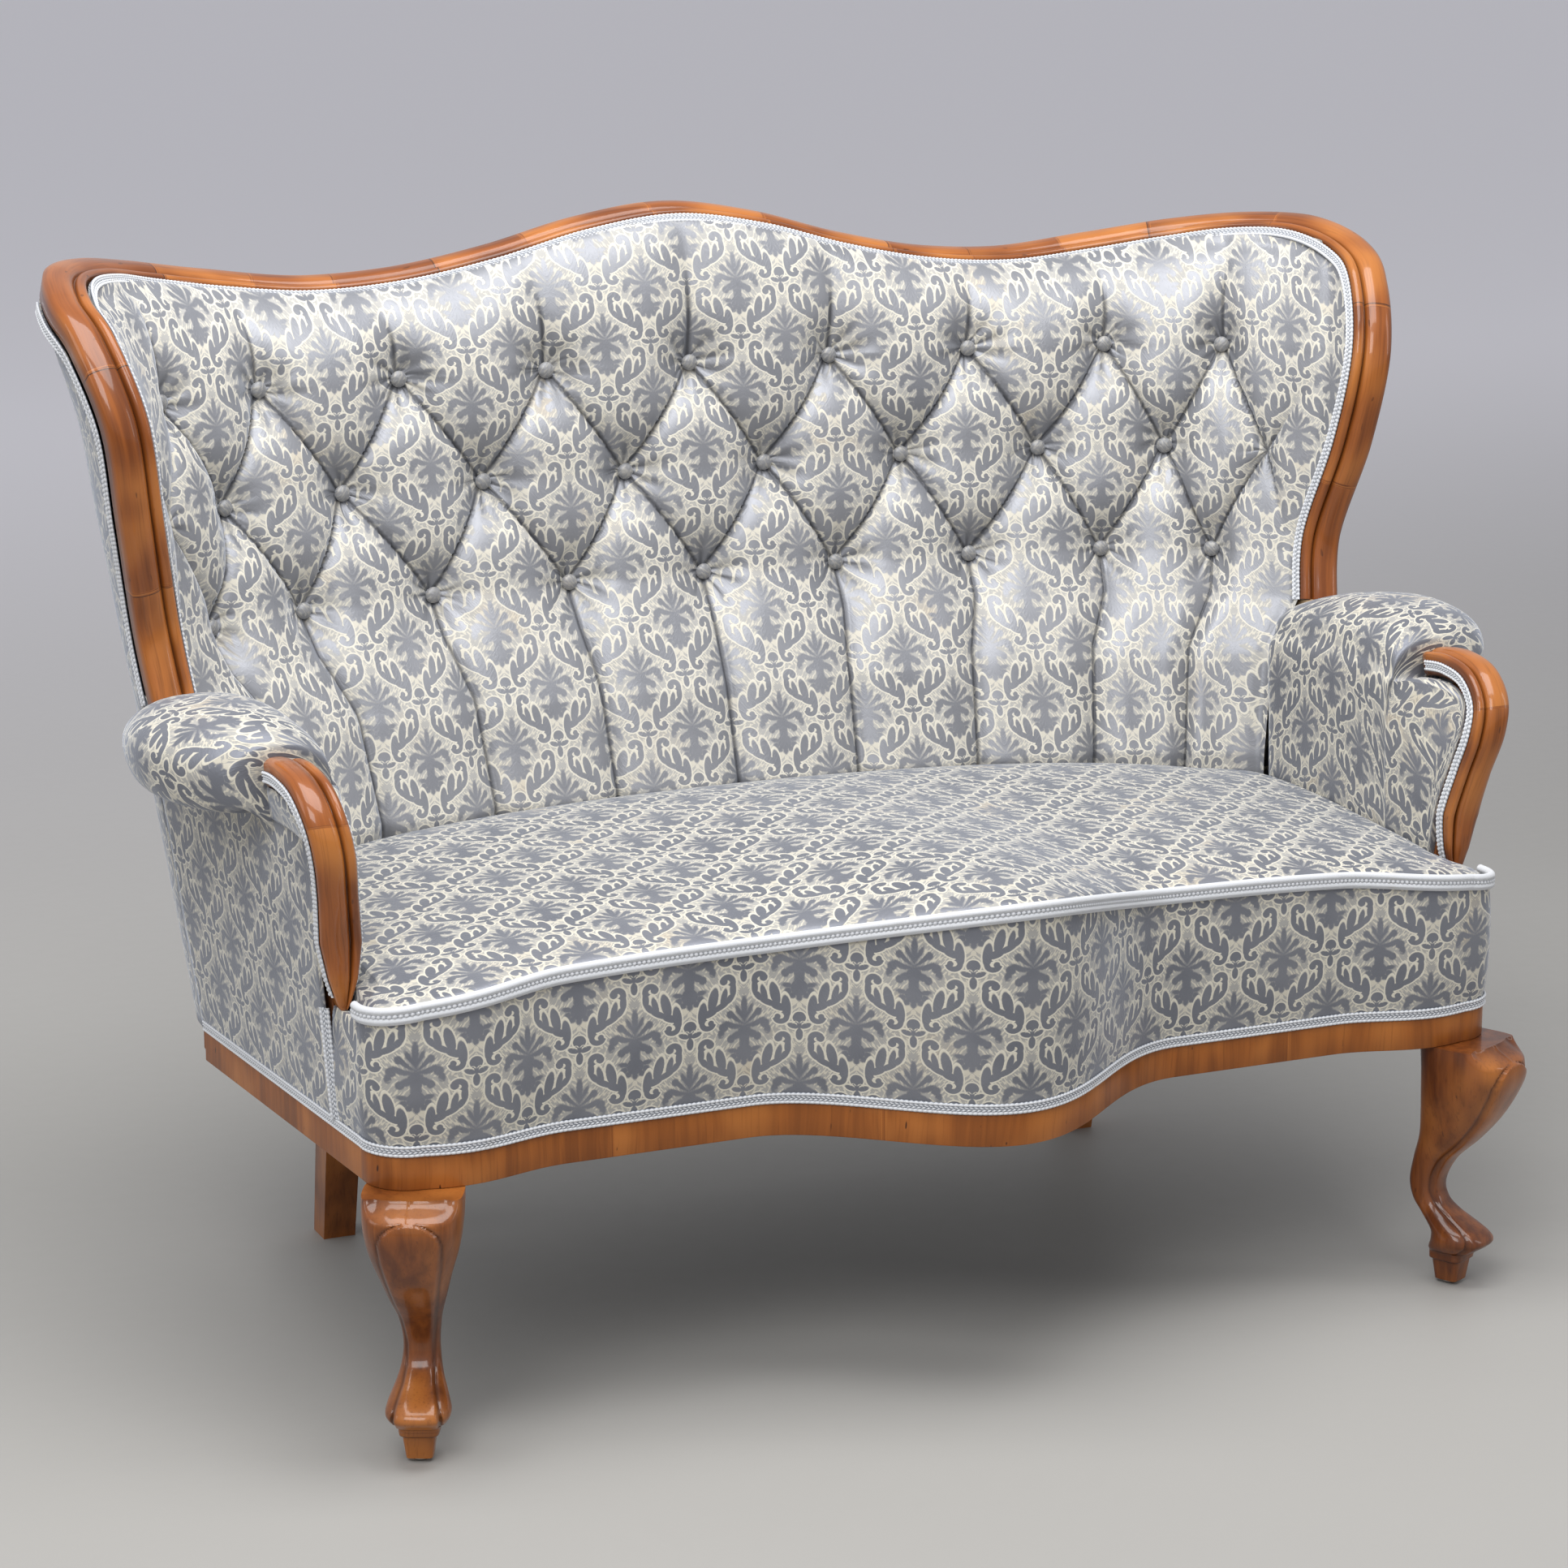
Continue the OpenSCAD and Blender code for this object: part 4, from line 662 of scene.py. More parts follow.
def gathers_and_shade(paint):
    """Depth of the pleats between the buttons and of the gathers round each button, also used for
    the painted shade in the pleats and round each button
    """
    c, b, high = paint.field("tuft")
    half = paint.least(paint.most(b, 0), 2) / 2
    open_ = paint.ramp(high, 0.72, 0.40) * paint.ramp(abs(c), 4.75, 4.5)
    fold = paint.least(abs(off_whole(c + half)), abs(off_whole(c - half)))
    pleat_and_shade = paint.ramp(fold * COLUMN_MM, 4.2, 0.2) * open_
    row = paint.least(paint.most(b.whole(), 0), 2)
    dx, dy = off_whole(c + paint.odd(row) * 0.5) * COLUMN_MM, (b - row) * ROW_STEP
    away, angle = reach(dx, dy), paint.maths("ARCTAN2", dy, dx)
    wander = paint.noise(paint.vector(angle * 0.6, away * 0.01, row * 3 + c * 0.8), 2.0, 2)
    # streak: the gathers round a button, used for their relief and for painted shade in them
    streak = (angle * 9 + wander * 9).sine() * 0.5 + 0.5
    # near: closeness to a button, which sets painted shade round the button
    near = paint.ramp(away, 44, 11) * open_
    return pleat_and_shade, streak * streak * near, near


def damask_paint(name="damask", plain=False, tufted=False):
    paint = Paint(name)
    u, v, _ = paint.uv()
    wide = paint.vector(u, v)
    u, v = u / MM, v / MM
    leaves, palmette, flow = damask(paint, u, v)
    bristle = paint.noise(paint.vector(u, v * 0.35), 1.1, 2)
    soft = paint.ramp(palmette + (bristle - 0.5) * 1.5, -0.6, 1.3)
    line = paint.ramp(abs(leaves + 0.95), 0.95, 0.35)
    motif = paint.most(soft, paint.ramp(leaves, -0.25, 0.25)) * (1 - line)
    fleck = paint.ramp(paint.noise(flow, 0.50, 1, 0.4), 0.49, 0.58)
    aged = paint.noise(wide, 9, 3, 0.6)
    slub = paint.noise(paint.vector(u * 0.25, v * 2.2), 1.6, 2)
    ground = paint.colour(fleck, (0.385, 0.375, 0.350), (0.62, 0.58, 0.48))
    ground = paint.colour(paint.ramp(aged, 0.56, 0.76) * 0.40, ground, (0.52, 0.39, 0.23))
    satin = paint.colour(paint.ramp(aged, 0.35, 0.65), (0.185, 0.194, 0.222), (0.240, 0.248, 0.276))
    if plain:
        motif, line = 0.6, 0.0
    shade = paint.colour(line, paint.colour(motif, ground, satin), (0.70, 0.66, 0.55))
    shade = paint.colour(slub * 0.18, shade, (0.16, 0.16, 0.17))
    thread = (v * 2 * math.pi / THREAD_MM).sine() * 0.25 + slub
    height = thread * (0.35 - motif * 0.2) + line * 0.5 + fleck * 0.3
    if tufted:
        pleat_and_shade, streak, near = gathers_and_shade(paint)
        # the back's cloth mixed 12% towards pale: partly faded cloth, partly painted light that
        # brightens the back
        shade = paint.colour(0.12, shade, (0.80, 0.79, 0.77))
        # painted shade: the pleats darkened almost to black
        shade = paint.colour(pleat_and_shade * 0.80, shade, (0.045, 0.046, 0.052))
        # painted shade: dark streaks in the gathers round each button, and slight darkening near
        # each button
        shade = paint.colour(streak * 0.50 + near * 0.06, shade, (0.075, 0.078, 0.088))
        height = height - pleat_and_shade * 5 - streak * 5
    return paint.finish(shade, 0.62 - motif * 0.16, height, WEAVE, 0.5, Metallic=motif * 0.5,
                        Sheen_Weight=0.6, Sheen_Roughness=0.36,
                        Sheen_Tint=(0.76, 0.82, 0.94, 1), Specular_IOR_Level=0.2)


def braid_paint():
    paint = Paint("braid_thread")
    u, v, _ = paint.uv()
    spin = paint.noise(paint.vector(u * 900, v * 2600), 1, 2)
    ply = ((u + v * 0.8) / MM * 2 * math.pi / PLY_MM).sine() * 0.5 + 0.5
    aged = paint.noise(paint.vector(u, v), 16, 3)
    relief = paint.field("relief")[0]
    shade = paint.colour(spin, (0.52, 0.54, 0.57), (0.80, 0.81, 0.83))
    # painted shade: the braid darkened where its relief is low, in the gaps between loops and
    # between stitches
    shade = paint.colour(paint.ramp(relief, 0.62, 0.10), shade, (0.20, 0.22, 0.26))
    shade = paint.colour(paint.ramp(aged, 0.62, 0.8) * 0.5, shade, (0.42, 0.36, 0.26))
    return paint.finish(shade, 0.5 + spin * 0.15, ply * 0.6 + spin * 0.4, 0.0003, 0.6,
                        Sheen_Weight=0.25)


def wood_paint(name, dark, middle, light, gloss=0.6, speck=0.5, figure=0.5, coat_roughness=0.09):
    """Polished wood whose grain follows the piece"""
    paint = Paint(name)
    s, w, d = paint.field("grain")
    away, part, hollow = paint.field("seam")
    s = s + part * 0.71
    w = w + paint.noise(paint.vector(s, w, d), 7, 2) * 0.010 * (1 + figure)

    def grain(long, cross, *detail):
        return paint.noise(paint.vector(s * long, w * cross, d * cross), 1, *detail)

    fibre, streak, cloud = grain(14, 420, 4, 0.6), grain(3.2, 75, 3, 0.6), grain(9, 14, 2)
    tone = paint.colour(paint.ramp(streak * 0.6 + cloud * 0.4, 0.34, 0.60), dark, middle)
    tone = paint.colour(paint.ramp(cloud, 0.42, 0.72), tone, light)
    tone = paint.colour(paint.ramp(fibre, 0.52, 0.70) * 0.30, tone, [c * 0.45 for c in dark])
    tone = paint.colour(paint.maths("FRACT", part * 0.37 + 0.2) * 0.22, tone, middle)
    # darker in the hollows: the grooves and cove of the carving, its collars, the groove and inner
    # edge of the moulding, and its hidden back
    tone = paint.colour(hollow * 0.72, tone, [c * 0.5 for c in dark])
    pit = paint.ramp(grain(60, 160, 1), 0.74, 0.80)
    tone = paint.colour(pit * speck, tone, (0.035, 0.012, 0.006))
    joint = paint.ramp(away, 0.0009, 0.0003)
    tone = paint.colour(joint * 0.85, tone, (0.03, 0.010, 0.005))
    rough, height = 0.30 + grain(22, 30, 4, 0.65) * 0.16, fibre * -0.25 - joint * 1.2 - pit
    return paint.finish(tone, rough, height, WEAVE, 0.3, Coat_Weight=gloss,
                        Coat_Roughness=coat_roughness, Specular_IOR_Level=0.2)


def timber_paint(name, dark, light):
    """Plain hidden timber, its grain along the object's x"""
    paint = Paint(name)
    x, y, z = paint.parts(paint.place())
    ring = paint.noise(paint.vector(x * 9, y * 90, z * 40), 1, 4, 0.6)
    fibre = paint.noise(paint.vector(x * 60, y * 700, z * 500), 1, 3)
    shade = paint.colour(ring * 0.7 + fibre * 0.3, dark, light)
    return paint.finish(shade, 0.62 + fibre * 0.2, fibre, WEAVE, 0.4)


def linen_paint(name, dark, light, pitch):
    """Plain woven cloth: threads over and under"""
    paint = Paint(name)
    x, y, z = paint.parts(paint.place())
    turns = 2 * math.pi / (pitch * MM)
    over = (x * turns).sine() * ((y + z) * turns).sine()
    slub = paint.noise(paint.vector(x * 40, y * 300, z * 300), 1, 3)
    shade = paint.colour(slub * 0.7 + over * 0.15 + 0.1, dark, light)
    return paint.finish(shade, 0.85, over * 0.5 + slub, 0.0005, 0.6, Sheen_Weight=0.1)


def steel_paint():
    paint = Paint("worn_steel")
    rub = paint.noise(paint.place(), 260, 4, 0.6)
    shade = paint.colour(rub, (0.30, 0.29, 0.27), (0.56, 0.55, 0.52))
    return paint.finish(shade, 0.28 + rub * 0.3, rub, 0.0002, 0.3, Metallic=0.9)


def floor_paint():
    paint = Paint("studio_floor")
    # painted light: the floor grows paler with distance, standing in for a lit backdrop behind the
    # sofa
    far = paint.ramp(paint.parts(paint.place())[1], 0.5, 7.0)
    cloud, grit = paint.noise(paint.place(), 0.8, 4), paint.noise(paint.place(), 45, 3)
    shade = paint.colour(cloud, (0.345, 0.335, 0.316), (0.385, 0.375, 0.355))
    shade = paint.colour(far, shade, (0.93, 0.91, 0.95))
    return paint.finish(shade, 0.5 + grit * 0.15, grit, WEAVE, 0.15, Specular_IOR_Level=0.25)


DAMASK = damask_paint()
TUFTED = damask_paint("tufted_damask", tufted=True)
SATIN = damask_paint("plain_satin", plain=True)
BRAID = braid_paint()
CREST_WOOD = wood_paint("crest_wood", (0.120, 0.030, 0.006), (0.32, 0.092, 0.017),
                        (0.48, 0.172, 0.037))
RAIL_WOOD = wood_paint("rail_veneer", (0.20, 0.060, 0.013), (0.33, 0.103, 0.020),
                       (0.44, 0.155, 0.034), 0.16, 0.9, 1.2, 0.22)
LEG_WOOD = wood_paint("leg_wood", (0.095, 0.024, 0.006), (0.23, 0.066, 0.013),
                      (0.42, 0.145, 0.030), gloss=0.55, figure=0.8)
BEECH = timber_paint("frame_timber", (0.30, 0.19, 0.10), (0.46, 0.32, 0.18))
STAINED = timber_paint("stained_timber", (0.14, 0.042, 0.010), (0.30, 0.096, 0.022))
LINEN = linen_paint("hessian", (0.22, 0.16, 0.09), (0.42, 0.33, 0.20), 2.2)
STRAP = linen_paint("webbing", (0.26, 0.21, 0.14), (0.46, 0.38, 0.26), 1.8)
DUST = linen_paint("dust_cloth", (0.035, 0.034, 0.033), (0.085, 0.082, 0.078), 0.9)
STEEL = steel_paint()


# Inside back

def back_cushion():
    cols, rows, split = 420, 190, 0.76
    t = across(0, 1, rows)
    c = down(-4.99, 4.99, cols) + 0 * t
    low = mix(COVER_Z + CLEAR, TOP_ROW_H, np.clip(t / split, 0, 1))
    z = low + (top_z(c) - CLEAR - TOP_ROW_H) * np.clip((t - split) / (1 - split), 0, 1)
    base, normal = sunk_pt(c, z), sunk_normal(c, z)
    front = base + normal * swell(c, z)[..., None]
    behind = base - normal * np.where(np.abs(c) > 4.8, CLOTH_T, BACK_PAD_T)[..., None]
    run = arc(base[..., :2])
    run = (run - run[cols // 2 - 1:cols // 2 + 1].mean(axis=0)) * 1.04
    uv = stack(run, (z - SEAT_REAR_H) * 1.03)
    high = np.clip((z - TOP_ROW_H) / (top_z(c) - TOP_ROW_H), 0, 1)
    tuft = stack(c, (TOP_ROW_H - z) / ROW_STEP, high)
    few = (slice(None, None, 6),) * 2
    points, faces, maps, tuft = join([
        (front, grid_faces(cols, rows), uv, tuft),
        (behind[few], grid_faces(*behind[few].shape[:2]), uv[few], tuft[few])])
    put("back_cushion_dressed", points, faces, TUFTED, ["back_cushion"],
                  maps, {"tuft": tuft})


def button_cap():
    """One covered button: a dome with the cover gathered in small facets"""
    r, a, k = BUTTON_D / 2, across(0, 2 * math.pi, 25)[:, :-1], down(0, 1, 8)
    e = k * math.pi / 2
    out = r * np.cos(e) * (1 + 0.05 * np.cos(7 * a) * np.sin(e * 2)) + 0.02
    h = r * 0.62 * np.sin(e) + 0.35 * np.cos(7 * a + 1) * np.cos(e) * k
    rings = stack(out * np.cos(a), out * np.sin(a), h + 0.8)
    return np.concatenate([rings[:1] * [0.9, 0.9, 0] + [0, 0, -1.5], rings])


def back_buttons():
    cap = button_cap()
    parts = []
    for i, (c, row) in enumerate(buttons()):
        c, z = np.array(float(c)), np.array(float(TOP_ROW_H - row * ROW_STEP))
        n = sunk_normal(c, z)
        spot = pad_pt(c, z, 6.5) + cap @ [[-n[1], n[0], 0], [0, 0, 1], n]
        parts.append((spot, tube_faces(*cap.shape[:2]), cap[..., :2] + i * 31))
    points, faces, maps = join(parts)
    put("back_buttons_covered", points, faces, SATIN, ["back_buttons"], maps)


# Seat

def seat_cushion():
    line = both(front_half())
    line = (line - plan_normals(line) * (BAND_T * 0.55 + CLEAR))[1:-1]
    fx, fy = line[:, :1], line[:, 1:]
    t = np.concatenate([np.linspace(0, 0.04, 6)[:-1], np.linspace(0.04, 1, 90)])[None]
    side_x = ARM_IN_X - PANEL_T - CLEAR
    c = np.linspace(0, COLUMNS, 41)
    pad = pad_pt(c, np.full_like(c, SEAT_REAR_H), LUMBAR_H * pad_edge(c) * 0.96 + CLEAR)
    rear = pad[np.argsort(pad[:, 0])][:, :2]
    even = stack(rear[:, 0], sunk_y(rear[:, 0], SEAT_REAR_H) - LUMBAR_H * 0.9)
    xr = fx * side_x / np.maximum(abs(fx[0]), np.abs(fx))
    x, even = mix(fx, xr, np.clip(t / 0.1, 0, 1)), lookup(np.abs(xr), even)
    fluted = lookup(np.abs(xr), rear) - CLEAR - even
    y = mix(fy, even, t) + fluted * step(t, 0.86, 1)
    zr = SEAT_REAR_H - SEAT_ARCH * 0.7 * (xr / side_x) ** 2
    dome = 1 - np.abs(2 * t - 1) ** 4
    flank = 1 - 0.6 * (np.abs(fx) / FRONT_HALF_W) ** 4
    z = mix(edge_h(fx), zr, t) + SEAT_CROWN * dome * flank - 5 * np.exp(-t / 0.006)
    z = z + 0.5 * np.sin(x / 130 + 1) * np.sin(y / 90) * dome
    grid, uv = stack(x, y, z), stack(x, y * 1.02 + 12)
    skirts = [grid[:, [k]] * [1, 1, 0] + [0, 0, COVER_Z + CLEAR] for k in (0, -1)]
    whole = np.concatenate([skirts[0], grid, skirts[1]], axis=1)
    maps = np.concatenate([uv[:, [0]] - [0, 90], uv, uv[:, [-1]] + [0, 90]], axis=1)
    tube_of("seat_cushion_dressed", whole, DAMASK, ["seat_cushion"], maps)


def seat_band():
    line = both(front_and_sides(SEAM_SHARE, 9))
    n = plan_normals(line)
    n[0], n[-1] = SIDE_OUT * [-1, 1], SIDE_OUT
    x, y = line.T
    beside = (np.abs(x) > CORNER_X) & (y > -CORNER_Y - 1)
    top = np.where(beside, FACING_TIP_H - CLEAR, edge_h(x) - WELT_R)
    t = across(0, 1, 26)
    z = mix(FABRIC_Z, top[:, None], t)
    belly = 4.2 * np.sin(np.pi * np.clip((t - 0.08) / 0.92, 0, 1)) ** 0.7 + 0.1
    grid = stack(x[:, None] + n[:, :1] * belly, y[:, None] + n[:, 1:] * belly, z)
    run = arc(line)[:, None]
    uv = stack(run - run[len(run) // 2], z - FABRIC_Z - 14)
    sheet_of("seat_band_dressed", grid, 2 - BAND_T, DAMASK,
                       ["seat_front_band"], uv)


# Cords and braids

# Pitch of the loops; turn of the crest braid on the crest and on the wings, its lift on the
# crest, and turn of the corner braid
BRAID_PITCH, CREST_TURN, WING_TURN, CREST_LIFT, CORNER_TURN = 4.6, 45, 68, 4.5, 38

def spread(rows, run, s):
    """Rows of points taken anew at the lengths s of a run"""
    return stack(*[np.interp(s, run, column) for column in rows.T])


def welt():
    """Two smooth cords with a row of stitches between them"""
    plan, sides, up = both(front_half()), 12, np.array([0.0, 0, 1])
    line = stack(*plan.T, edge_h(plan[:, 0]) - WELT_R)
    length = arc(line)
    run = np.linspace(0, length[-1], int(length[-1] / 0.9))
    line = spread(line, length, run)
    n = stack(*plan_normals(line[:, :2]).T, 0)
    a = np.linspace(0, 2 * math.pi, sides + 1)[:-1, None]
    spokes = n[:, None] * np.cos(a) + up * np.sin(a)
    even, stitch = run * 0 + 1, 0.72 + 0.28 * np.cos(2 * math.pi * run / BRAID_PITCH)
    parts = []
    # the last value of each cord is its relief, which in the braid's paint also gives painted shade
    # between the stitches
    for lift, out, r, swelling, tone in (
            (0.98, 0.55, 0.88, even, even * 0.66), (-0.98, 0.55, 0.88, even, even * 0.66),
            (0, 0.95, 0.52, stitch, stitch * 1.3 - 0.3)):
        middle = line + n * (WELT_R * out + CLEAR) + up * lift * WELT_R
        rings = middle[:, None] + spokes * (WELT_R * r * swelling)[:, None, None]
        uv = stack(run[:, None], np.arange(sides) * WELT_R * 0.5)
        relief = stack(*[tone[:, None] + 0 * a.T] * 3)
        parts.append((rings, tube_faces(len(run), sides), uv, relief))
    points, faces, maps, relief = join(parts)
    put("seat_welt_cords", points, faces, BRAID, ["seat_edge_welt"], maps,
        {"relief": relief})


def braid_strip(line, way, face):
    """A braid of looped rows along a line, with its width way and its face"""
    run = arc(line)
    s = np.linspace(0, run[-1], int(run[-1] / BRAID_PITCH) * 6 + 1)
    line, way, face = (spread(v, run, s) for v in (line, unit(way), unit(face)))
    q, phase = across(0, 1, 23), 2 * math.pi * s[:, None] / BRAID_PITCH
    loops, edge = (0.42 + 0.58 * np.abs(np.cos(phase / 2 + late)) ** 0.8 for late in (0, 0.8))
    chain, second = (0.55 + 0.35 * np.cos(phase + q * slope) for slope in (-16, 16))
    rows = [(0.16, 0.13, loops), (0.40, 0.09, chain), (0.60, 0.09, second), (0.84, 0.13, edge)]
    relief = np.max([np.exp(-((q - at) / half) ** 4) * row for at, half, row in rows], axis=0)
    shift = q - 0.5 + np.where(q < 0.1, 0.05, 0) * (1 - np.cos(phase)) / 2
    height = BRAID_T * 1.1 * relief + 0.25
    grid = line[:, None] + unit(way)[:, None] * (shift * BRAID_W)[..., None] \
        + unit(face)[:, None] * height[..., None]
    return grid, grid_faces(*height.shape), stack(s[:, None], q * BRAID_W), stack(*[relief] * 3)


def braid(node, *runs, side=1):
    """A piece of braid from one or more runs"""
    strips = [braid_strip(*[side_of(v, side) for v in run]) for run in runs]
    points, faces, maps, relief = join(strips)
    put(node + "_woven", points, faces, BRAID, [node], maps, {"relief": relief})


def crest_braid():
    u = np.linspace(-LAST, LAST, 500)
    lower = step(np.abs(u), 7.5, 10.5)[:, None]
    turn = np.radians(mix(CREST_TURN, WING_TURN, lower))
    way = -wood_across(u) * np.cos(turn) - wood_face(u) * np.sin(turn)
    face = wood_face(u) * np.cos(turn) - wood_across(u) * np.sin(turn)
    lift = mix(CREST_LIFT, CLEAR, lower)
    line = wood_edge(u) + way * (BRAID_W / 2 + CLEAR) + face * lift
    braid("crest_braid", (line, way, face))


def wing_braid(side):
    u = np.linspace(WING_FROM - 0.6, LAST, 160)
    out, face = wood_across(u), wood_face(u)
    line = wood_edge(u) + out * (WOOD_W + 0.2) - face * (WOOD_T - 1 + BRAID_W / 2)
    braid(sided(side, "wing_braid"), (line, -face, out), side=side)


def base_braid():
    plan = both(front_and_sides(1, 40))
    n = plan_normals(plan)
    line = stack(*(plan + n * CLEAR).T, FABRIC_Z - BRAID_T + BRAID_W / 2)
    braid("base_braid", (line, line * 0 - [0, 0, 1], stack(*n.T, 0)))


def corner_braid(side):
    z = np.linspace(FABRIC_Z - BRAID_T + BRAID_W, FACING_TIP_H, 30)
    y = side_pt(SEAM_SHARE)[1]
    c, s = math.cos(math.radians(CORNER_TURN)), math.sin(math.radians(CORNER_TURN))
    way, face = SIDE_DIR * c + SIDE_OUT * s, SIDE_OUT * c - SIDE_DIR * s
    braid(sided(side, "corner_braid"),
          (stack(arm_wall(y, z) + 0.9, y - 2.5, z), stack(*way, 0 * z), stack(*face, 0 * z)),
          side=side)


# Arms

FACING_START_Y, FACING_FRONT_Y = FRONT_Y * 0.479, FRONT_Y * 0.852
FACING_TIP_H, FACING_TOP_H = SEAT_EDGE_H * 0.964, ARM_H * 0.943
FACING_TOP_X = FRONT_HALF_W * 1.043
FACING_SHARES = [
    (1.00, 0.00, 0.970, 0.70), (1.00, 0.12, 0.990, 1.00), (1.00, 0.40, 1.000, 1.00),
    (0.92, 0.73, 0.965, 1.00), (0.76, 0.96, 0.853, 1.00), (0.52, 1.00, 0.700, 1.00),
    (0.28, 0.90, 0.510, 0.95), (0.08, 0.80, 0.300, 1.00), (0.00, 0.78, 0.130, 0.68),
    (0.00, 0.78, 0.000, 0.16)]
FACING_ENDS = np.array([(FRONT_HALF_W, -FACING_START_Y, FACING_TIP_H),
                        (FACING_TOP_X, -FACING_FRONT_Y, FACING_TOP_H)])
FACING_LINE = mix(*FACING_ENDS, np.array(FACING_SHARES)[:, :3])
FACING_WIDTHS = [s[3] * FACING_W for s in FACING_SHARES]
FACING_END = len(FACING_SHARES) - 1
POST_LEAN = (FACING_TOP_X - FACING_W / 2 - ARM_IN_X - CLEAR) / (ARM_ROLL_Z - RAIL_TOP)


def facing_frame(u):
    """Middle, face and width of the facing"""
    u = np.asarray(u, float)
    ends = [curve(FACING_LINE, np.clip(u + way, 0, FACING_END)) for way in (0.05, -0.05)]
    face = unit(np.cross(unit(ends[0] - ends[1]), [1.0, 0, 0]))
    return curve(FACING_LINE, u), face, np.interp(u, np.arange(FACING_END + 1), FACING_WIDTHS)


def arm_braid(side):
    mid, face, width = facing_frame(np.linspace(1, 8.5, 140))
    runs = []
    for way in (1.0, -1.0):
        out = face * 0 + [way, 0, 0]
        line = mid + out * (width[:, None] / 2 + CLEAR) - face * (BRAID_T + BRAID_W / 2)
        runs.append((line, -face, out))
    braid(sided(side, "arm_braid"), *runs, side=side)


def rear_edge(u):
    """The rear edge of the show-wood, where the outside cloth is tacked"""
    return wood_edge(u) + wood_across(u) * (WOOD_W - CLEAR) - wood_face(u) * (WOOD_T + CLEAR)


def side_wall(z):
    x, y, _ = rear_edge(LAST)
    k = (z - FABRIC_Z) / (EDGE[-1][2] - FABRIC_Z)
    return mix(REAR_HALF_W, x, k), mix(SIDE_END_Y, y, k)


def arm_wall(y, z):
    ax, ay = side_pt(SEAM_SHARE)
    bx, by = side_wall(z)
    fx = mix(ax, FACING_TOP_X, (z - FABRIC_Z) / (ARM_ROLL_Z - FABRIC_Z))
    return mix(fx, bx, np.maximum((y - ay) / (by - ay), 0))


def squircle(a, rx, ry, n):
    c, s = np.cos(a), np.sin(a)
    r = (np.abs(c) ** n + np.abs(s) ** n) ** (-1 / n)
    return np.stack([rx * c * r, ry * s * r], axis=-1)


ROLL_SHARES = [
    (0.00, 0.72, 0.66, 1), (0.06, 0.79, 0.72, 0.05), (0.20, 0.90, 0.86, 0), (0.36, 0.97, 0.95, 0),
    (0.52, 1.00, 1.00, 0), (0.68, 0.98, 0.99, 0), (0.82, 0.90, 0.95, 0), (0.93, 0.78, 0.86, 0),
    (0.98, 0.66, 0.76, 0), (1.00, 0.56, 0.66, 0)]
FLANK_SHARES = [0.012, 0.25, 0.50, 0.68, 0.76, 0.85, 0.93, 0.98]
TAIL_Z = SEAT_EDGE_H - WELT_R * 4


def flank_x(z):
    return ARM_IN_X + CLEAR + (z - RAIL_TOP) * POST_LEAN - 2 * CLEAR


def facing_back(first, last, pitch=0.5):
    """Points behind the facing, and its middle and width there"""
    count = int(abs(last - first) / pitch) + 1
    mid, face, width = facing_frame(np.linspace(first, last, count))
    return mid - face * (FACING_T + 2 * CLEAR), mid, width


def half_round(xi, xo, y, z, rise):
    """The rounded top of a roll, from inside to outside"""
    turns = [squircle(math.radians(180 - a), (xo - xi) / 2, rise, 2.3) for a in range(0, 181, 30)]
    return [((xi + xo) / 2 + q[0], y, z + q[1]) for q in turns]


def roll_ring(s):
    rear = side_wall(ARM_ROLL_Z)[1] - 28 - 2 * CLEAR
    y = mix(rear, -FACING_START_Y + 1, s[0])
    xi, xo = ARM_IN_X + s[3] * RAIL_T, mix(ARM_IN_X, ARM_OUT_X, s[1])
    zt = mix(ARM_ROLL_Z, ARM_H, s[2])
    zm = mix(ARM_ROLL_Z, zt, 0.45)
    inside = [(xi, y, TAIL_Z), (xi - PANEL_T * 0.5, y, mix(TAIL_Z, ARM_ROLL_Z, 0.55)),
              (xi - PANEL_T, y, mix(ARM_ROLL_Z, zm, 0.3))]
    under = [(mix(xi, xo, 0.93), y, mix(zm, ARM_ROLL_Z, 0.8)),
             (mix(xi, xo, 0.75), y, ARM_ROLL_Z + CLEAR),
             (max(flank_x(ARM_ROLL_Z), xi + 2 * CLEAR), y, ARM_ROLL_Z + CLEAR),
             (max(flank_x(TAIL_Z), xi + CLEAR), y, TAIL_Z)]
    return inside + half_round(xi, xo, y, zm, zt - zm) + under


def flank_ring(s):
    top, curl = facing_back(0, 5)[0], facing_back(8, 5)[0]
    top = sorted((-p[1], p[2]) for p in top)
    low = [(-curl[0][1] - WELT_R, TAIL_Z)] + [(-p[1], p[2]) for p in curl]
    _, mid, width = facing_back(8, 3, 1)
    y = mix(-FACING_START_Y + 1, curl[6][1], s)
    z0, z1 = lookup(-y, low), lookup(-y, top)
    t = min(PANEL_T, (z1 - z0) / 3)
    zs, k = z1 - t, min(s / 0.86, 1) ** 2

    def inner(z):
        edge = np.interp(z, mid[:, 2], mid[:, 0] - width / 2)
        return mix(ARM_IN_X, min(edge, flank_x(z) - CLOTH_T), k)

    inside = [(inner(mix(z0, zs, h)) - t * (1 - k) * (h > 0), y, mix(z0, zs, h))
              for h in (0, 0.5, 0.8)]
    outside = [(flank_x(mix(z0, zs, h)), y, mix(z0, zs, h)) for h in (0.75, 0.5, 0.25, 0)]
    return inside + half_round(inner(zs), flank_x(z1), y, zs, t) + outside


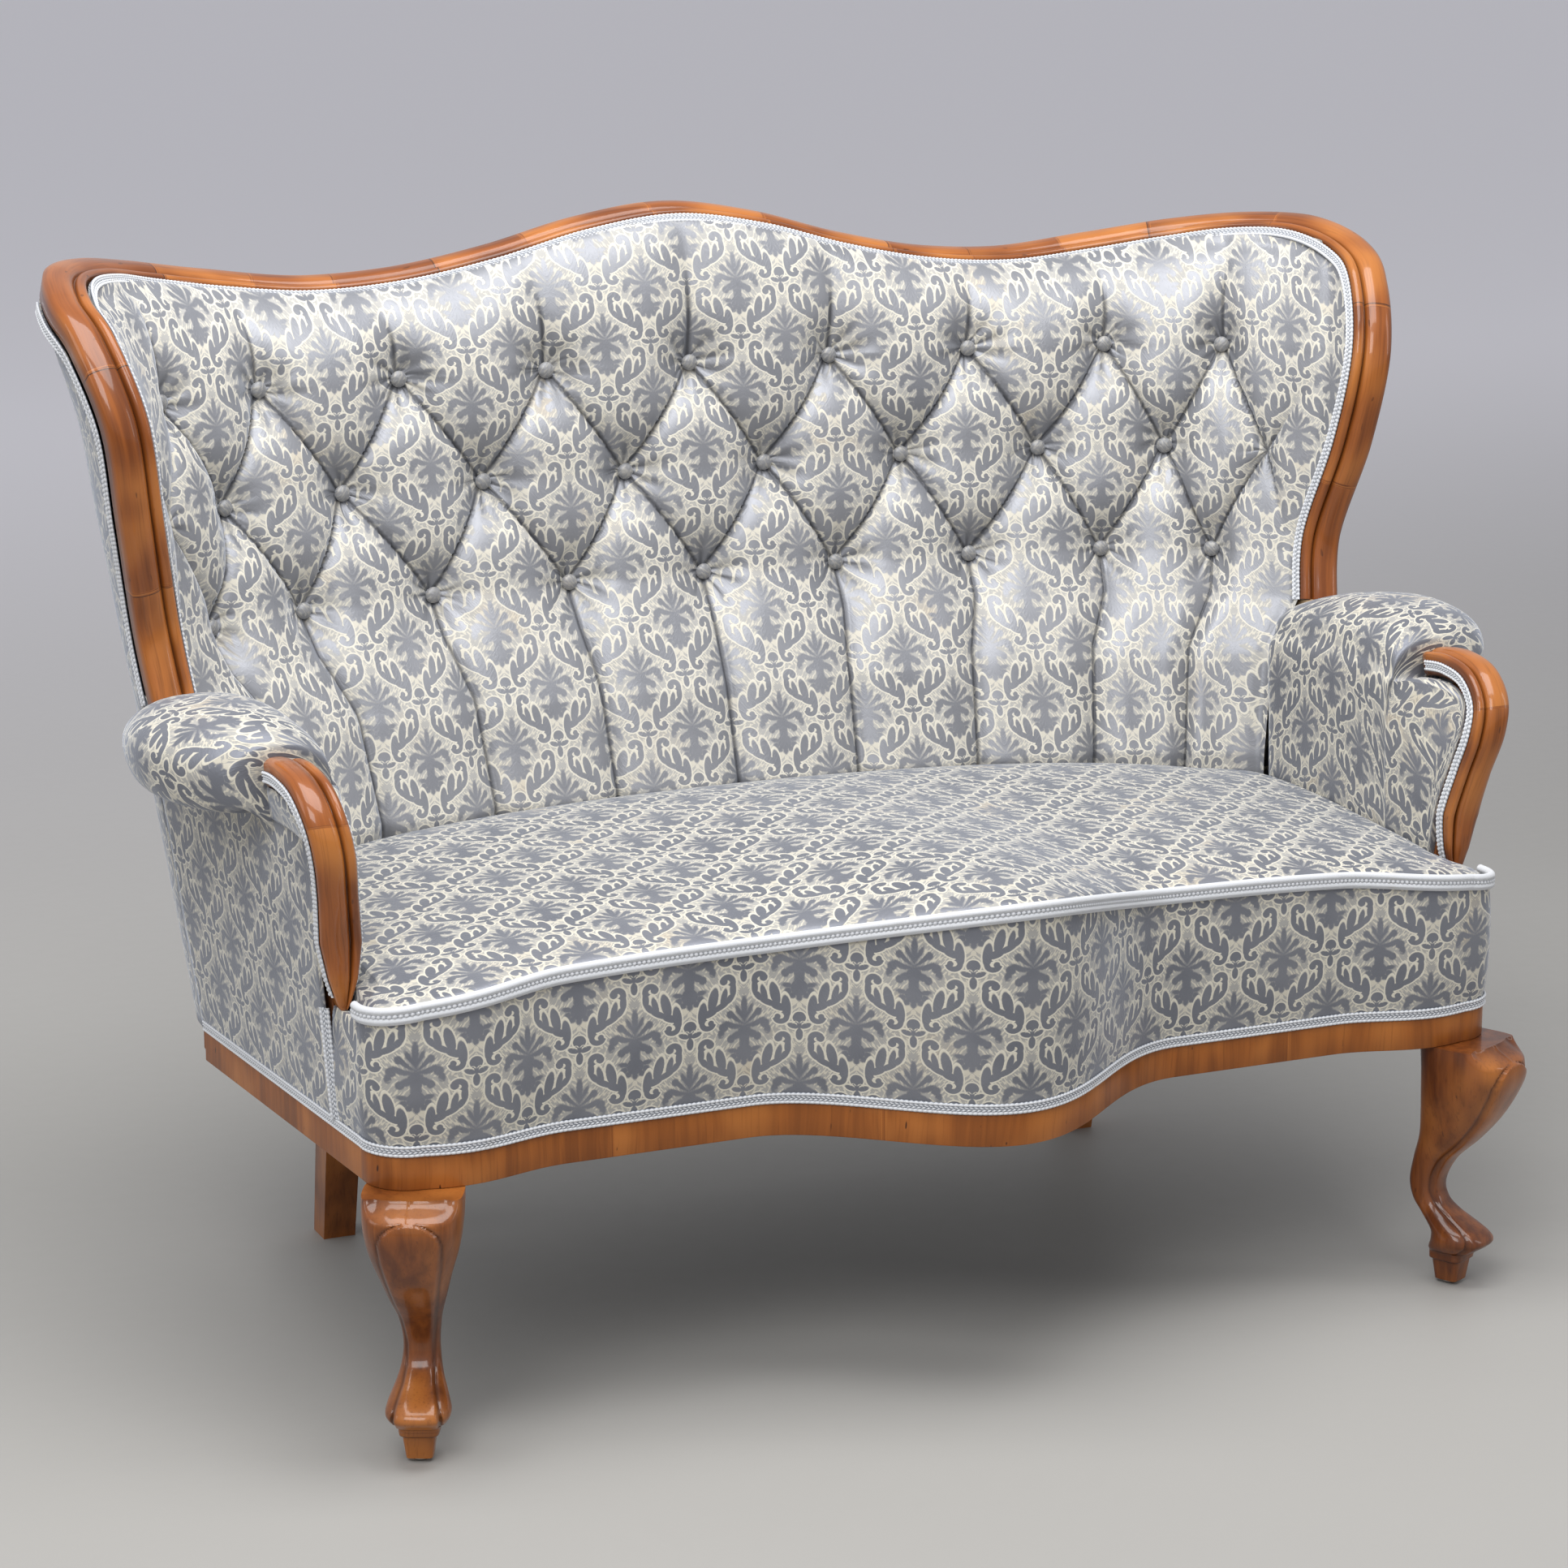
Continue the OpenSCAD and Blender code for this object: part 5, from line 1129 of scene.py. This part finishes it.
def arm_pad(side):
    rings = np.array([roll_ring(s) for s in ROLL_SHARES] + [flank_ring(s) for s in FLANK_SHARES])
    grid = finer(np.concatenate([rings, rings[:, :1]], axis=1), 110, 85)
    around = arc(np.swapaxes(grid, 0, 1)).T
    uv = stack(arc(grid), around - around[:, [42]])[:, :-1]
    tube_of(sided(side, "arm_pad_dressed"), side_of(grid[:, :-1], side), DAMASK,
                      [sided(side, "arm_pad")], uv)


def outside_arm(side):
    curl = facing_back(8, 5)[0]
    z = down(FABRIC_Z, ARM_ROLL_Z - CLEAR, 40)
    front = np.interp(z, curl[:, 2], curl[:, 1] - CLEAR)
    front = np.where(z < FACING_TIP_H, side_pt(SEAM_SHARE)[1], front)
    y = mix(front, side_wall(z)[1] + 8, across(0, 1, 40))
    arm_cloth("outside_arm_dressed", side, arm_wall(y, z), y, z, [sided(side, "outside_arm")])
    z = down(ARM_ROLL_Z - 5, rear_edge(LAST)[2] + 8, 10)
    y = mix(side_wall(ARM_ROLL_Z)[1] - 40, side_wall(z)[1] + 8, across(0, 1, 12))
    arm_cloth("arm_return", side, arm_wall(y, z) + 0.4, y, z)
    over, mid, width = facing_back(0, 5, 0.25)
    top = sorted((-p[1], p[2]) for p in over)
    edge = sorted(zip(-over[:, 1], mid[:, 0] + width / 2 - 3))
    low = [(0, ARM_ROLL_Z - 5)] + [(-p[1], max(p[2], ARM_ROLL_Z - 5)) for p in curl]
    y, t = mix(-FACING_START_Y + 14, over[-1][1] + 1, across(0, 1, 30)), down(0, 1, 16)
    z0, z1, edge = lookup(-y, low), lookup(-y, top) + 1, lookup(-y, edge)
    near = np.clip((-y - FACING_START_Y) / (FACING_FRONT_Y - FACING_START_Y), 0, 1) ** 2
    x = mix(mix(arm_wall(y, z0) + 0.5, edge, near), edge, np.sin(t * math.pi / 2))
    arm_cloth("arm_front_return", side, x, y, mix(z0, z1, t))


def arm_cloth(name, side, x, y, z, stands_for=()):
    grid = stack(x, y, z)
    cloth(sided(side, name), side_of(grid, side), side * CLOTH_T, DAMASK,
          stands_for, grid[..., 1:] - [0, FABRIC_Z])


# Outside back and wings

OUT_CREST = rear_edge(np.linspace(0, WING_FROM, 37))
OUT_WING = rear_edge(np.linspace(LAST, WING_FROM, 21))
OUT_X, OUT_Y = ([(FABRIC_Z, low)] + [(p[2], p[k]) for p in OUT_WING]
                for k, low in enumerate((REAR_HALF_W, SIDE_END_Y)))
OUT_MID = [(FABRIC_Z, REAR_Y), (TOP_ROW_H, CREST_BACK_Y * 1.045),
           (CREST_H, CREST_BACK_Y + WOOD_W - PANEL_T)]
OUT_POWERS = [(FABRIC_Z, 2.8), (TOP_ROW_H, 3.3), (CREST_H, 3.5)]


def outer_y(x, z):
    return bowed(x, z, lookup(z, OUT_X), OUT_POWERS, OUT_Y, OUT_MID)


def outer_x(s, z):
    return lookup(z, OUT_X) * np.sin(np.radians(90 * s))


def outer_sheet(node, s0, s1, cols):
    s, t = down(s0, s1, cols), across(0, 1, 60)
    reach_x = np.minimum(np.abs(outer_x(s, CREST_H * 0.94)), OUT_CREST[-1][0])
    top = lookup(reach_x, OUT_CREST[:, [0, 2]])
    high = (top - CLEAR - TOP_ROW_H) * np.clip((t - 0.8) / 0.2, 0, 1)
    z = mix(FABRIC_Z, TOP_ROW_H, np.clip(t / 0.8, 0, 1)) + high
    x, xt = outer_x(s, z), np.abs(outer_x(s, top))
    lift = (lookup(xt, OUT_CREST[:, [0, 1]]) - outer_y(xt, top)) * crest_lift(z, top)
    grid = stack(x, outer_y(x, z) + lift, z)
    cloth(node + "_dressed", grid, CLOTH_T, DAMASK, [node],
          stack(arc(grid[..., :2]), z - FABRIC_Z))


def outside_back():
    seam, end = 0.55, 0.998
    outer_sheet("outside_back", -seam, seam, 121)
    for side in (-1, 1):
        s0, s1 = sorted((seam * side, end * side))
        outer_sheet(sided(side, "outside_wing"), s0, s1, 61)


# Show-wood

# Share of the width where the groove lies, length of a leaf of veneer, turn of the front feet
GROOVE, VENEER_MM, FOOT_TURN = 0.284, 260, math.radians(25)


def moulding(width, bead, thickness):
    """Section of the show-wood, a narrow bead, a sharp groove and a broad bead: the width way,
    the height and how deep in a hollow"""
    sharp = [0.272, GROOVE, 0.296]
    s = np.concatenate([np.linspace(0, 0.262, 15), sharp, np.linspace(0.306, 1, 30)])
    small = 0.66 * np.sqrt(np.clip(1 - ((s - 0.131) / 0.133) ** 2, 0, 1))
    broad = 1.02 * np.clip(1 - np.abs((s - 0.66) / 0.365) ** 2.5, 0, 1) ** 0.55
    h = np.where(s < GROOVE, small, broad)
    hollow = np.exp(-((s - GROOVE) / 0.026) ** 2) + 0.5 * np.exp(-(s / 0.03) ** 2)
    back = np.array([(1.00, -0.75), (0.90, -1.00), (0.10, -1.00), (0.00, -0.75)])
    front = stack(s * width, h * bead, hollow)
    return np.concatenate([front, stack(*(back * [width, thickness]).T, 0.6)])


def wooden(name, rings, paint, node, grain, seam, angle):
    """A piece of show-wood with its grain and its joints"""
    values = {"grain": grain * MM, "seam": seam}
    soften(tube_of(name, rings, paint, [node], None, values), angle)


def moulded(node, mid, out, face, sections, joints, side=1):
    """A stick of moulding in place of a solid, its grain along it"""
    width, height, hollow = np.moveaxis(sections, -1, 0)
    rings = mid[:, None] + out[:, None] * width[..., None] + face[:, None] * height[..., None]
    run = arc(mid)[:, None]
    gaps = run[..., None] - np.array(joints)
    seam = stack(np.min(np.abs(gaps), axis=-1) * MM, np.sum(gaps > 0, axis=-1) + len(node), hollow)
    wooden(node + "_moulded", side_of(rings, side), CREST_WOOD, node,
           stack(run, width, height), seam, 50)


def soften(piece, angle):
    pick(piece)
    bpy.ops.object.shade_smooth_by_angle(angle=math.radians(angle))


def crest_wood():
    mends = (-12.6, -4.6, -3.7, -1.6, -0.2, 1.1, 3.6, 4.7, 7.6, 12.4)
    sticks = [("crest_centre", -2.6, 2.6)]
    for name, a, b in (("crest_rail", 2.6, 5.8), ("crest_corner", 5.8, 10.4),
                       ("wing_stile", 10.4, LAST)):
        sticks += [("right_" + name, a, b), ("left_" + name, -b, -a)]
    section = moulding(WOOD_W, BEAD_H, WOOD_T)
    for node, a, b in sticks:
        u = np.linspace(a, b, int((b - a) * 24))
        mid = wood_edge(u)
        run = arc(mid)
        joints = [0, run[-1]] + [np.interp(m, u, run) for m in mends if a < m < b]
        sections = np.broadcast_to(section, (len(u), *section.shape))
        moulded(node, mid, wood_across(u), wood_face(u), sections, joints)


def arm_facings():
    mid, face, width = facing_frame(np.linspace(0, FACING_END, 150))
    sections = np.array([moulding(w, BEAD_H * min(w / FACING_W * 1.2, 1), FACING_T) for w in width])
    sections[..., 0] -= width[:, None] / 2
    out, joint = face * 0 + [1.0, 0, 0], arc(mid)[-1] * 0.42
    for side in (-1, 1):
        moulded(sided(side, "arm_facing"), mid, out, face, sections, [joint], side)


def seat_rails():
    """The bare veneered band of the rails, with its lower edge softened"""
    top = SHOW_RAIL_H
    profile = [(-RAIL_T, 0), (-1.6, 0), (-0.5, 0.5), (0, 1.6), (0, top - 1), (-0.6, top),
               (-BAND_T, top), (-BAND_T, RAIL_H), (-RAIL_T, RAIL_H)]
    rail("front_rail", both(front_half()), profile)
    profile = [(min(a, -PANEL_T) if b > top - 0.5 else a, b) for a, b in profile]
    for side in (-1, 1):
        rail(sided(side, "side_rail"), (side_pt(down(0, 1, 24)) * [side, 1])[::side], profile)


def rail(node, line, profile):
    n = plan_normals(line)
    rings = np.stack([stack(*(line + n * a).T, RAIL_Z + b) for a, b in profile], axis=1)
    run, z = arc(line)[:, None], rings[..., 2]
    wooden(node + "_veneered", rings, RAIL_WOOD, node, stack(z, run, 0),
           stack(1, np.floor(run / VENEER_MM), 0 * z), 35)


# Carved front legs

LEG_SHARES = [
    (0.000, 0.00, 0.25, 0.25, 6), (0.082, 0.00, 0.31, 0.31, 6), (0.090, 0.00, 0.37, 0.37, 5),
    (0.120, 0.01, 0.39, 0.40, 4), (0.140, 0.08, 0.47, 0.52, 3), (0.176, 0.20, 0.55, 0.60, 2.6),
    (0.215, 0.12, 0.50, 0.56, 2.6), (0.270, -0.26, 0.37, 0.43, 2.8), (0.320, -0.54, 0.31, 0.36, 3),
    (0.390, -0.64, 0.31, 0.34, 3), (0.490, -0.48, 0.38, 0.40, 3), (0.590, -0.16, 0.56, 0.53, 3),
    (0.690, 0.07, 0.75, 0.66, 3), (0.790, 0.23, 0.88, 0.81, 3), (0.880, 0.32, 0.96, 0.89, 3),
    (0.950, 0.29, 0.94, 0.92, 3), (1.000, 0.22, 0.88, 0.92, 3)]
PANEL_HALF = [
    (0.12, 17), (0.14, 19), (0.176, 20), (0.215, 18), (0.27, 13), (0.32, 11), (0.39, 11),
    (0.49, 14), (0.59, 18), (0.69, 22), (0.79, 26), (0.86, 27.5), (0.90, 24), (0.925, 17),
    (0.94, 8), (0.945, 0)]


def leg_points():
    """Points round the leg from its glide to the rail, and how deep each is in the carving"""
    count = len(LEG_SHARES)
    table = np.array(LEG_SHARES)
    u = np.concatenate([np.linspace(0, 3.2, 50)[:-1], np.linspace(3.2, 16, 181)])
    plain = stack(*[np.interp(u, np.arange(count), table[:, k]) for k in range(5)])
    h, lean, deep, wide, n = np.where((u < 2.5)[:, None], plain, curve(table, u)).T[..., None]
    a = across(0, 2 * math.pi, 145)[:, :-1]
    c, q = np.cos(a), np.sin(a)
    r = (np.abs(c) ** n + np.abs(q) ** n) ** (-1 / n)
    x, y = wide * KNEE_HALF_W * c * r, deep * KNEE_HALF_W * q * r
    half = lookup(h, PANEL_HALF)
    front = step(-q * r, 0.15, 0.7) * (h > 0.125)
    edge = half - np.abs(x)
    inside = step(edge, -0.9, 0.9)
    groove = np.exp(-((edge + 1.6) / 1.5) ** 2) * (half > 1)
    flute = np.exp(-((edge + 7) / 4.2) ** 2) * step(h, 0.13, 0.2) * (1 - step(h, 0.80, 0.93))
    cove = step(h, 0.935, 0.995) * step(0.93 - np.abs(x) / KNEE_HALF_W, 0, 0.35)
    toe = np.exp(-((h - 0.165) / 0.04) ** 2)
    out = 2.6 * inside - 1.5 * groove - 1.3 * flute - 15 * cove
    out = out + toe * (1.2 * inside - 2.2 * groove)
    collar = np.exp(-((h - 0.088) / 0.004) ** 2) + 0.8 * np.exp(-((h - 0.128) / 0.005) ** 2)
    hollow = np.clip((groove * (1 + toe) + 0.35 * flute + 0.5 * cove) * front + collar, 0, 1)
    return x, y - lean * KNEE_HALF_W - out * front, mix(GLIDE_H, RAIL_Z, h), hollow


def front_leg(side):
    x, y, z, hollow = leg_points()
    c, s = math.cos(FOOT_TURN), math.sin(FOOT_TURN)
    grid = stack(x * c - y * s + FRONT_FOOT_X, x * s + y * c - FRONT_FOOT_Y, z)
    node = sided(side, "front_leg")
    wooden(node + "_carved", side_of(grid, side), LEG_WOOD, node, stack(z, x + side * 60, y),
           stack(1, side + 2, hollow), 40)


def rear_leg(side):
    node = sided(side, "rear_leg")
    piece = smooth_copy(node)
    piece.data.materials.append(LEG_WOOD)
    x, y, z = np.array([v.co for v in piece.data.vertices]).T
    set_field(piece.data, "grain", stack(z, x, y))
    set_field(piece.data, "seam", stack(1, 0, 0 * x))
    own(piece, [node])


# Cloth and webbing under and behind the stuffing

def under_cloth():
    """The dust cloth tacked under the rails, sagging a little between them"""
    s, t = down(-1, 1, 70), across(0, 1, 60)
    x = s * (FRONT_HALF_W - RAIL_T * 0.6) + 0 * t
    front = -serpent(np.clip(np.abs(x), 0, CORNER_X)) + RAIL_T * 0.6
    front = front + np.maximum(np.abs(x) - CORNER_X, 0) * 1.2
    y = mix(front, rear_line(x) - RAIL_T * 1.1, t)
    for side in (-1, 1):
        away = np.hypot(x - side * FRONT_FOOT_X, y + FRONT_FOOT_Y)
        push = np.clip(KNEE_HALF_W * 1.3 - away, 0, None) * 0.8
        x, y = x - side * push, y + push
    sag = 5 * (1 - s ** 4) * (1 - (2 * t - 1) ** 4)
    cloth("dust_cloth_tacked", stack(x, y, RAIL_Z - 2 * CLOTH_T - CLEAR - sag), THIN, DUST,
          ["dust_cover"])


def inner_cloths():
    c = down(-4.5, 4.5, 60)
    z = mix(COVER_Z + CLEAR, top_z(c) - 20, across(0, 1, 40))
    hessian = pad_pt(c + 0 * z, z, -BACK_PAD_T - CLEAR + 0 * z)
    cloth("back_hessian_tacked", hessian, -THIN, LINEN, ["back_hessian"])
    for i in range(3):
        z = LOW_ROW_H + i * ROW_STEP + across(-0.5, 0.5, 5) * STRAP_W + down(0, 0, 50)
        grid = pad_pt(down(-4, 4, 50) + 0 * z, z, -BACK_PAD_T - 2 * CLEAR - 2 * CLOTH_T + 0 * z)
        cloth("back_strap_%d" % i, grid, THIN, STRAP, ["back_webbing"])


SEAT_D = FRONT_Y + REAR_Y
THIN = CLOTH_T * 0.6


def seat_straps():
    """Webbing tacked across under the rails, over and under"""
    xs, width = np.linspace(0, REAR_HALF_W, 400), across(-0.5, 0.5, 4) * STRAP_W
    runs = []
    for i in range(-1, 3):
        y = i * SEAT_D * 0.18 - SEAT_D * 0.162
        side = mix(FRONT_HALF_W, REAR_HALF_W, (y + FRONT_Y) / SEAT_D)
        end = min(side, xs[rear_line(xs) > y + STRAP_W / 2][-1]) - 8
        runs.append((down(-end, end, 120), y + width, RAIL_Z - CLOTH_T, THIN))
    for i in range(-3, 4):
        x = i * FRONT_HALF_W * 0.248
        far = abs(x) + STRAP_W / 2
        back = rear_line(far) - 6 if abs(i) < 3 else REAR_POST_Y - REAR_LEG_W / 2 - 4
        y = down(-serpent(min(far, CORNER_X)) + 30, back, 80)
        runs.append((x + width, y, RAIL_Z - 2 * CLOTH_T, -THIN))
    for i, (x, y, z, thickness) in enumerate(runs):
        cloth("seat_strap_%02d" % i, stack(x, y, z), thickness, STRAP,
              ["seat_webbing"])


def stuffing_cover():
    """Hessian over the springs, drawn tight from rail to rail"""
    x = down(-1, 1, 90) * (ARM_IN_X - 2)
    far = np.abs(x)
    front = -serpent(np.minimum(far, CORNER_X)) + BAND_T + 3 + np.maximum(far - CORNER_X, 0) * 1.5
    back = sunk_y(x, RAIL_TOP) + BACK_PAD_T - 3
    by_post = np.abs(far - REAR_POST_X) < REAR_LEG_W / 2 + 8
    back = np.where(by_post, np.minimum(back, REAR_POST_Y - REAR_LEG_W / 2 - 6), back)
    grid = stack(x, mix(front, back, across(0, 1, 60)), RAIL_TOP + 0.4)
    cloth("spring_cover_tacked", grid, THIN, LINEN, ["spring_cover"])


def keep_frame():
    """Frame pieces that stay as solids, in better materials"""
    kept = [(BEECH, "corner_blocks left_arm_rail right_arm_rail left_wing_post right_wing_post "
                    "lower_back_rail back_slat"),
            (STAINED, "rear_rail left_arm_post right_arm_post"),
            (STEEL, "foot_glides block_screws seat_springs")]
    for paint, names in kept:
        for name in names.split():
            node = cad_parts[name]
            if not node.material_slots:
                node.data.materials.append(paint)
            for place in node.material_slots:
                place.material = paint


# Studio

FLOOR_HALF = 70
SKY_COLOUR, SKY_STRENGTH = (0.84, 0.85, 0.89, 1), 0.58
# Name, place, aim and size in metres, and power in watts
SOFTBOXES = [
    ("overhead", (-0.2, -0.5, 3.2), (0.0, 0.0, 0.4), (2.6, 1.8), 88),
    ("front", (-2.0, -2.4, 3.1), (0.1, 0.1, 0.6), (2.0, 1.6), 66),
    ("side", (-3.6, 0.2, 2.2), (0, 0, 0.5), (1.4, 1.8), 16),
    ("far", (3.2, -1.6, 1.9), (0, 0, 0.5), (0.6, 1.8), 9)]
# The solved camera: metres, degrees down and round, and millimetres
EYE, EYE_DOWN, EYE_ROUND, LENS_MM, SENSOR_MM = (-1.577, -3.400, 1.380), 13.2, 24.2, 88.6, 36


def studio():
    mesh = bpy.data.meshes.new("studio_floor")
    corners = [(x * FLOOR_HALF, y * FLOOR_HALF, 0) for x, y in ((-1, -1), (1, -1), (1, 1), (-1, 1))]
    mesh.from_pydata(corners, [], [(0, 1, 2, 3)])
    mesh.materials.append(floor_paint())
    link(bpy.data.objects.new("studio_floor", mesh))
    world = bpy.context.scene.world or bpy.data.worlds.new("studio")
    bpy.context.scene.world = world
    world.use_nodes = True
    sky = world.node_tree.nodes["Background"]
    sky.inputs["Color"].default_value = SKY_COLOUR
    sky.inputs["Strength"].default_value = SKY_STRENGTH
    for name, place, aim, size, power in SOFTBOXES:
        data = bpy.data.lights.new(name + "_softbox", "AREA")
        data.shape = "RECTANGLE"
        data.size, data.size_y = size
        data.energy = power
        light = link(bpy.data.objects.new(name + "_softbox", data))
        light.location = place
        turn = (Vector(aim) - Vector(place)).to_track_quat("-Z", "Y")
        light.rotation_euler = turn.to_euler()


def camera():
    data = bpy.data.cameras.new("camera")
    data.lens, data.sensor_width = LENS_MM, SENSOR_MM
    eye = link(bpy.data.objects.new("camera", data))
    eye.location = EYE
    eye.rotation_euler = (math.radians(90 - EYE_DOWN), 0, math.radians(-EYE_ROUND))
    bpy.context.scene.camera = eye


back_cushion()
back_buttons()
seat_cushion()
seat_band()
welt()
crest_braid()
base_braid()
for hand in (-1, 1):
    wing_braid(hand)
    corner_braid(hand)
    arm_braid(hand)
    arm_pad(hand)
    outside_arm(hand)
    front_leg(hand)
    rear_leg(hand)
outside_back()
crest_wood()
arm_facings()
seat_rails()
under_cloth()
inner_cloths()
seat_straps()
stuffing_cover()
keep_frame()
studio()
camera()
bpy.context.scene.view_settings.view_transform = "Standard"
